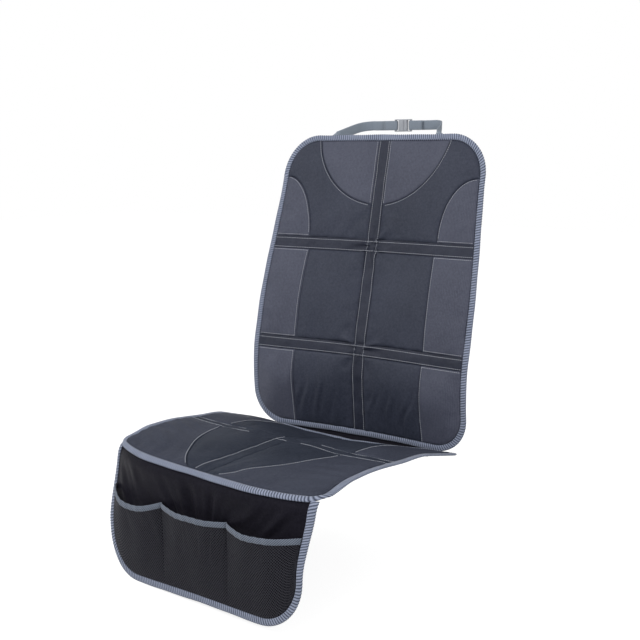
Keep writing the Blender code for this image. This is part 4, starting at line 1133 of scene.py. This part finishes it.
def pocket_hem(side, left, right):
    """Tape folded over the mouth of a pocket, slightly gathered."""
    share = np.linspace(0.0, 1.0, 200)
    u = left + (right - left) * share
    mouth = pocket_mouth(side, share) - HEM_WIDTH / 2
    gather = 0.0006 * ripple(share, 1 / 9.5) * np.sin(math.pi * share)
    depth = pocket_depth(share, 0.0) + 0.0006 + gather
    centre = lift(seat_datum, u, mouth, depth)
    below = unit(lift(seat_datum, u, mouth + 0.002, depth) - lift(seat_datum, u, mouth - 0.002, depth))
    out = unit(lift(seat_datum, u, mouth, depth + 0.002) - centre)
    return swept_strip("pocket_hem_tape_" + side, "pocket_hem_" + side, centre, below, out,
                       HEM_WIDTH / 2, HEM_HALF_THICKNESS, HEM, ribs=0.22)


flap_outline = [(u, s if s > SEAT_LENGTH + 0.001 else SEAT_LENGTH - FLAP_TUCK_IN) for u, s in FLAP_EDGE]
flap_flat = cut_cells(shrink(without_repeats(flap_outline), -CLOTH_IN_TAPE), FLAP_CELL)
flap_where = flat_places(flap_flat)
flap_height = flap_fold(*flap_where.T)
flap = layered_piece("flap_sheet", flap_flat, lift(seat_datum, *flap_where.T, flap_height + FLAP_THICKNESS),
                     lift(seat_datum, *flap_where.T, flap_height), FLAP, flap_where,
                     "flap_cloth")

POCKET_EDGE = FLAP_FIELD_HALF - 0.0008
for side, start, end in (("left", -POCKET_EDGE, -POCKET_DIVIDER - GAP / 2),
                         ("centre", -POCKET_DIVIDER + GAP / 2, POCKET_DIVIDER - GAP / 2),
                         ("right", POCKET_DIVIDER + GAP / 2, POCKET_EDGE)):
    net, cut, yarn = net_pocket(side, start, end)
    hem = pocket_hem(side, start, end)


# Hinge strip in the crease
def between(before, a, b, after, t):
    """A point of a smooth curve between a and b."""
    return 0.5 * (2 * a + (b - before) * t + (2 * before - 5 * a + 4 * b - after) * t ** 2
                  + (3 * a - before - 3 * b + after) * t ** 3)


HINGE_HALF = 0.180
HINGE_REACH = 0.020
HINGE_HANG = 0.010
HINGE_THICKNESS = 0.0012
hinge_us = np.linspace(-HINGE_HALF, HINGE_HALF, 61)
sides = []
for height in (-GAP, -GAP - HINGE_THICKNESS):
    upper, lower = (lift(back_datum, hinge_us, BACK_LENGTH - reach, height) for reach in (HINGE_REACH, 0.0))
    near, far = (lift(seat_datum, hinge_us, reach, height) for reach in (0.0, HINGE_REACH))
    shift = (-GAP - height) * math.sqrt(0.5)
    hang = HINGE_HANG * (1 - 0.85 * smooth(abs(hinge_us), 0.150, HINGE_HALF)) + shift
    sag = np.stack([np.zeros_like(hang), np.full_like(hang, shift), -hang], axis=1)
    knots = [upper, upper, lower, (lower + near) / 2 + sag, near, far, far]
    sides.append(np.stack([between(*knots[i:i + 4], t) for i in range(4)
                           for t in np.linspace(0, 1, 6, endpoint=(i == 3))]))
hinge_flat = bmesh.new()
grid = [[hinge_flat.verts.new((j, i, 0)) for j in range(len(hinge_us))] for i in range(len(sides[0]))]
for line, following in zip(grid, grid[1:]):
    for j in range(len(hinge_us) - 1):
        hinge_flat.faces.new((line[j], line[j + 1], following[j + 1], following[j]))
hinge_flat.verts.index_update()
top, under = (points.reshape(-1, 3) for points in sides)
hinge = layered_piece("crease_hinge_strip", hinge_flat, top, under, FLAP,
                      np.stack([top[:, 0], top[:, 1] + top[:, 2]], axis=1), "crease_hinge")


# Headrest strap
def curve_through(knots, steps):
    ends = [2 * knots[0] - knots[1]] + knots + [2 * knots[-1] - knots[-2]]
    points = [between(*ends[i:i + 4], t) for i in range(len(knots) - 1)
              for t in np.linspace(0, 1, steps, endpoint=False)]
    return points + [knots[-1]]


def strap(side, node):
    """Webbing from where it is sewn to the top edge, round a bend, to the buckle's bar and back."""
    flat_height = -GAP - WEBBING_THICKNESS / 2
    turn = BUCKLE_BAR_RADIUS + WEBBING_THICKNESS / 2 + GAP
    behind = STRAP_LINE_Y + turn
    bar_x = side * BUCKLE_BAR_X

    def place(x, y, z=STRAP_LINE_Z):
        return np.array([x, y, z])

    path = [lift(back_datum, side * (STRAP_ANCHOR_X - STRAP_SEWN * k), 0.008 * (1 - k), flat_height)
            for k in (0.0, 0.35, 0.7)]
    knots = [lift(back_datum, side * (STRAP_ANCHOR_X - STRAP_SEWN), 0.0, flat_height),
             place(side * (STRAP_POST_X + STRAP_POST_BEND), behind - STRAP_POST_BEND, STRAP_LINE_Z - 0.004),
             place(side * STRAP_POST_X, behind - GAP),
             place(side * (STRAP_POST_X - STRAP_POST_BEND), behind),
             place(bar_x + side * 0.006, behind)]
    path += curve_through(knots, 10)
    path += [place(bar_x - side * (0.0017 + math.cos(angle) * turn), STRAP_LINE_Y + math.sin(angle) * turn)
             for angle in np.radians(np.linspace(90, -90, 11))]
    path += [place(bar_x + side * reach, STRAP_LINE_Y - turn) for reach in (0.006, 0.012, 0.019, 0.026)]
    path = np.array(path)
    along = unit(np.gradient(path, axis=0))
    lean = BACK_RECLINE * np.clip(1 - np.arange(len(path)) / 20, 0, 1)
    upright = np.stack([np.zeros(len(path)), np.sin(lean), np.cos(lean)], axis=1)
    wide = unit(upright - np.sum(upright * along, axis=1, keepdims=True) * along)
    swept_strip(node + "_webbing", node, path, wide, np.cross(along, wide), WEBBING_WIDTH / 2,
                WEBBING_THICKNESS / 2, WEBBING)


strap(-1, "headrest_strap_left")
strap(1, "headrest_strap_right")
for node in ("buckle_socket", "buckle_plug"):
    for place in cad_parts[node].material_slots:
        place.material = PLASTIC


# Floor, light and camera
def seen_directly(tree):
    """1 for camera, glossy and transmission rays, and 0 for the rays that light the object."""
    kind = tree.nodes.new("ShaderNodeLightPath")
    seen = math_node(tree, "MAXIMUM", kind.outputs["Is Camera Ray"], kind.outputs["Is Glossy Ray"])
    return math_node(tree, "MAXIMUM", seen, kind.outputs["Is Transmission Ray"])


def area_light(name, place, aim, size, power):
    lamp = bpy.data.lights.new(name, "AREA")
    lamp.shape = "RECTANGLE"
    lamp.size, lamp.size_y = size
    lamp.energy = power
    item = bpy.data.objects.new(name, lamp)
    item.location = place
    item.rotation_euler = (Vector(aim) - Vector(place)).to_track_quat("-Z", "Y").to_euler()
    bpy.context.collection.objects.link(item)


FLOOR_Z = CAD_BOX[0][2] - 0.001
FLOOR_HALF = 8
FLOOR_GREY = 0.62
FLOOR_GLOW = 0.82
SKY_LEVEL = 0.40
CAMERA_PLACE = (1.0383, -1.2939, 0.4864)
CAMERA_LENS = 59.07
CAMERA_TURN = math.radians(34.5)
CAMERA_TILT = math.radians(90 - 9.04)

floor_mesh = bpy.data.meshes.new("floor")
floor_edge = rectangle(-FLOOR_HALF, FLOOR_HALF, -FLOOR_HALF, FLOOR_HALF)
floor_mesh.from_pydata([(x, y, FLOOR_Z) for x, y in floor_edge], [], [(0, 1, 2, 3)])
floor = bpy.data.objects.new("floor", floor_mesh)
bpy.context.collection.objects.link(floor)
floor_material, floor_tree, floor_shader = new_material("pale_floor")
set_inputs(floor_shader, Base_Color=(FLOOR_GREY, FLOOR_GREY, FLOOR_GREY, 1), Roughness=0.9,
           Specular_IOR_Level=0.0, Emission_Color=(1, 1, 1, 1))
floor_tree.links.new(math_node(floor_tree, "MULTIPLY", seen_directly(floor_tree), FLOOR_GLOW),
                     floor_shader.inputs["Emission Strength"])
floor_mesh.materials.append(floor_material)

world = bpy.data.worlds.new("studio")
bpy.context.scene.world = world
world.use_nodes = True
sky = world.node_tree
backdrop = sky.nodes["Background"]
set_inputs(backdrop, Color=(1, 1, 1, 1))
sky.links.new(add_share(sky, SKY_LEVEL, seen_directly(sky), 1 - SKY_LEVEL), backdrop.inputs["Strength"])

area_light("key_light", (-1.1, -1.9, 1.85), (0, 0.1, 0.2), (1.8, 1.4), 38)
area_light("right_light", (2.4, -1.0, 1.3), (0, 0.2, 0.3), (1.4, 1.6), 21)
area_light("top_light", (0.1, 0.6, 2.4), (0, 0.2, 0.1), (1.8, 1.4), 5)

camera_data = bpy.data.cameras.new("camera")
camera_data.lens = CAMERA_LENS
camera_data.sensor_width = 36.0
camera = bpy.data.objects.new("camera", camera_data)
camera.location = CAMERA_PLACE
camera.rotation_euler = (CAMERA_TILT, 0, CAMERA_TURN)
bpy.context.collection.objects.link(camera)
bpy.context.scene.camera = camera
bpy.context.scene.view_settings.view_transform = "Standard"
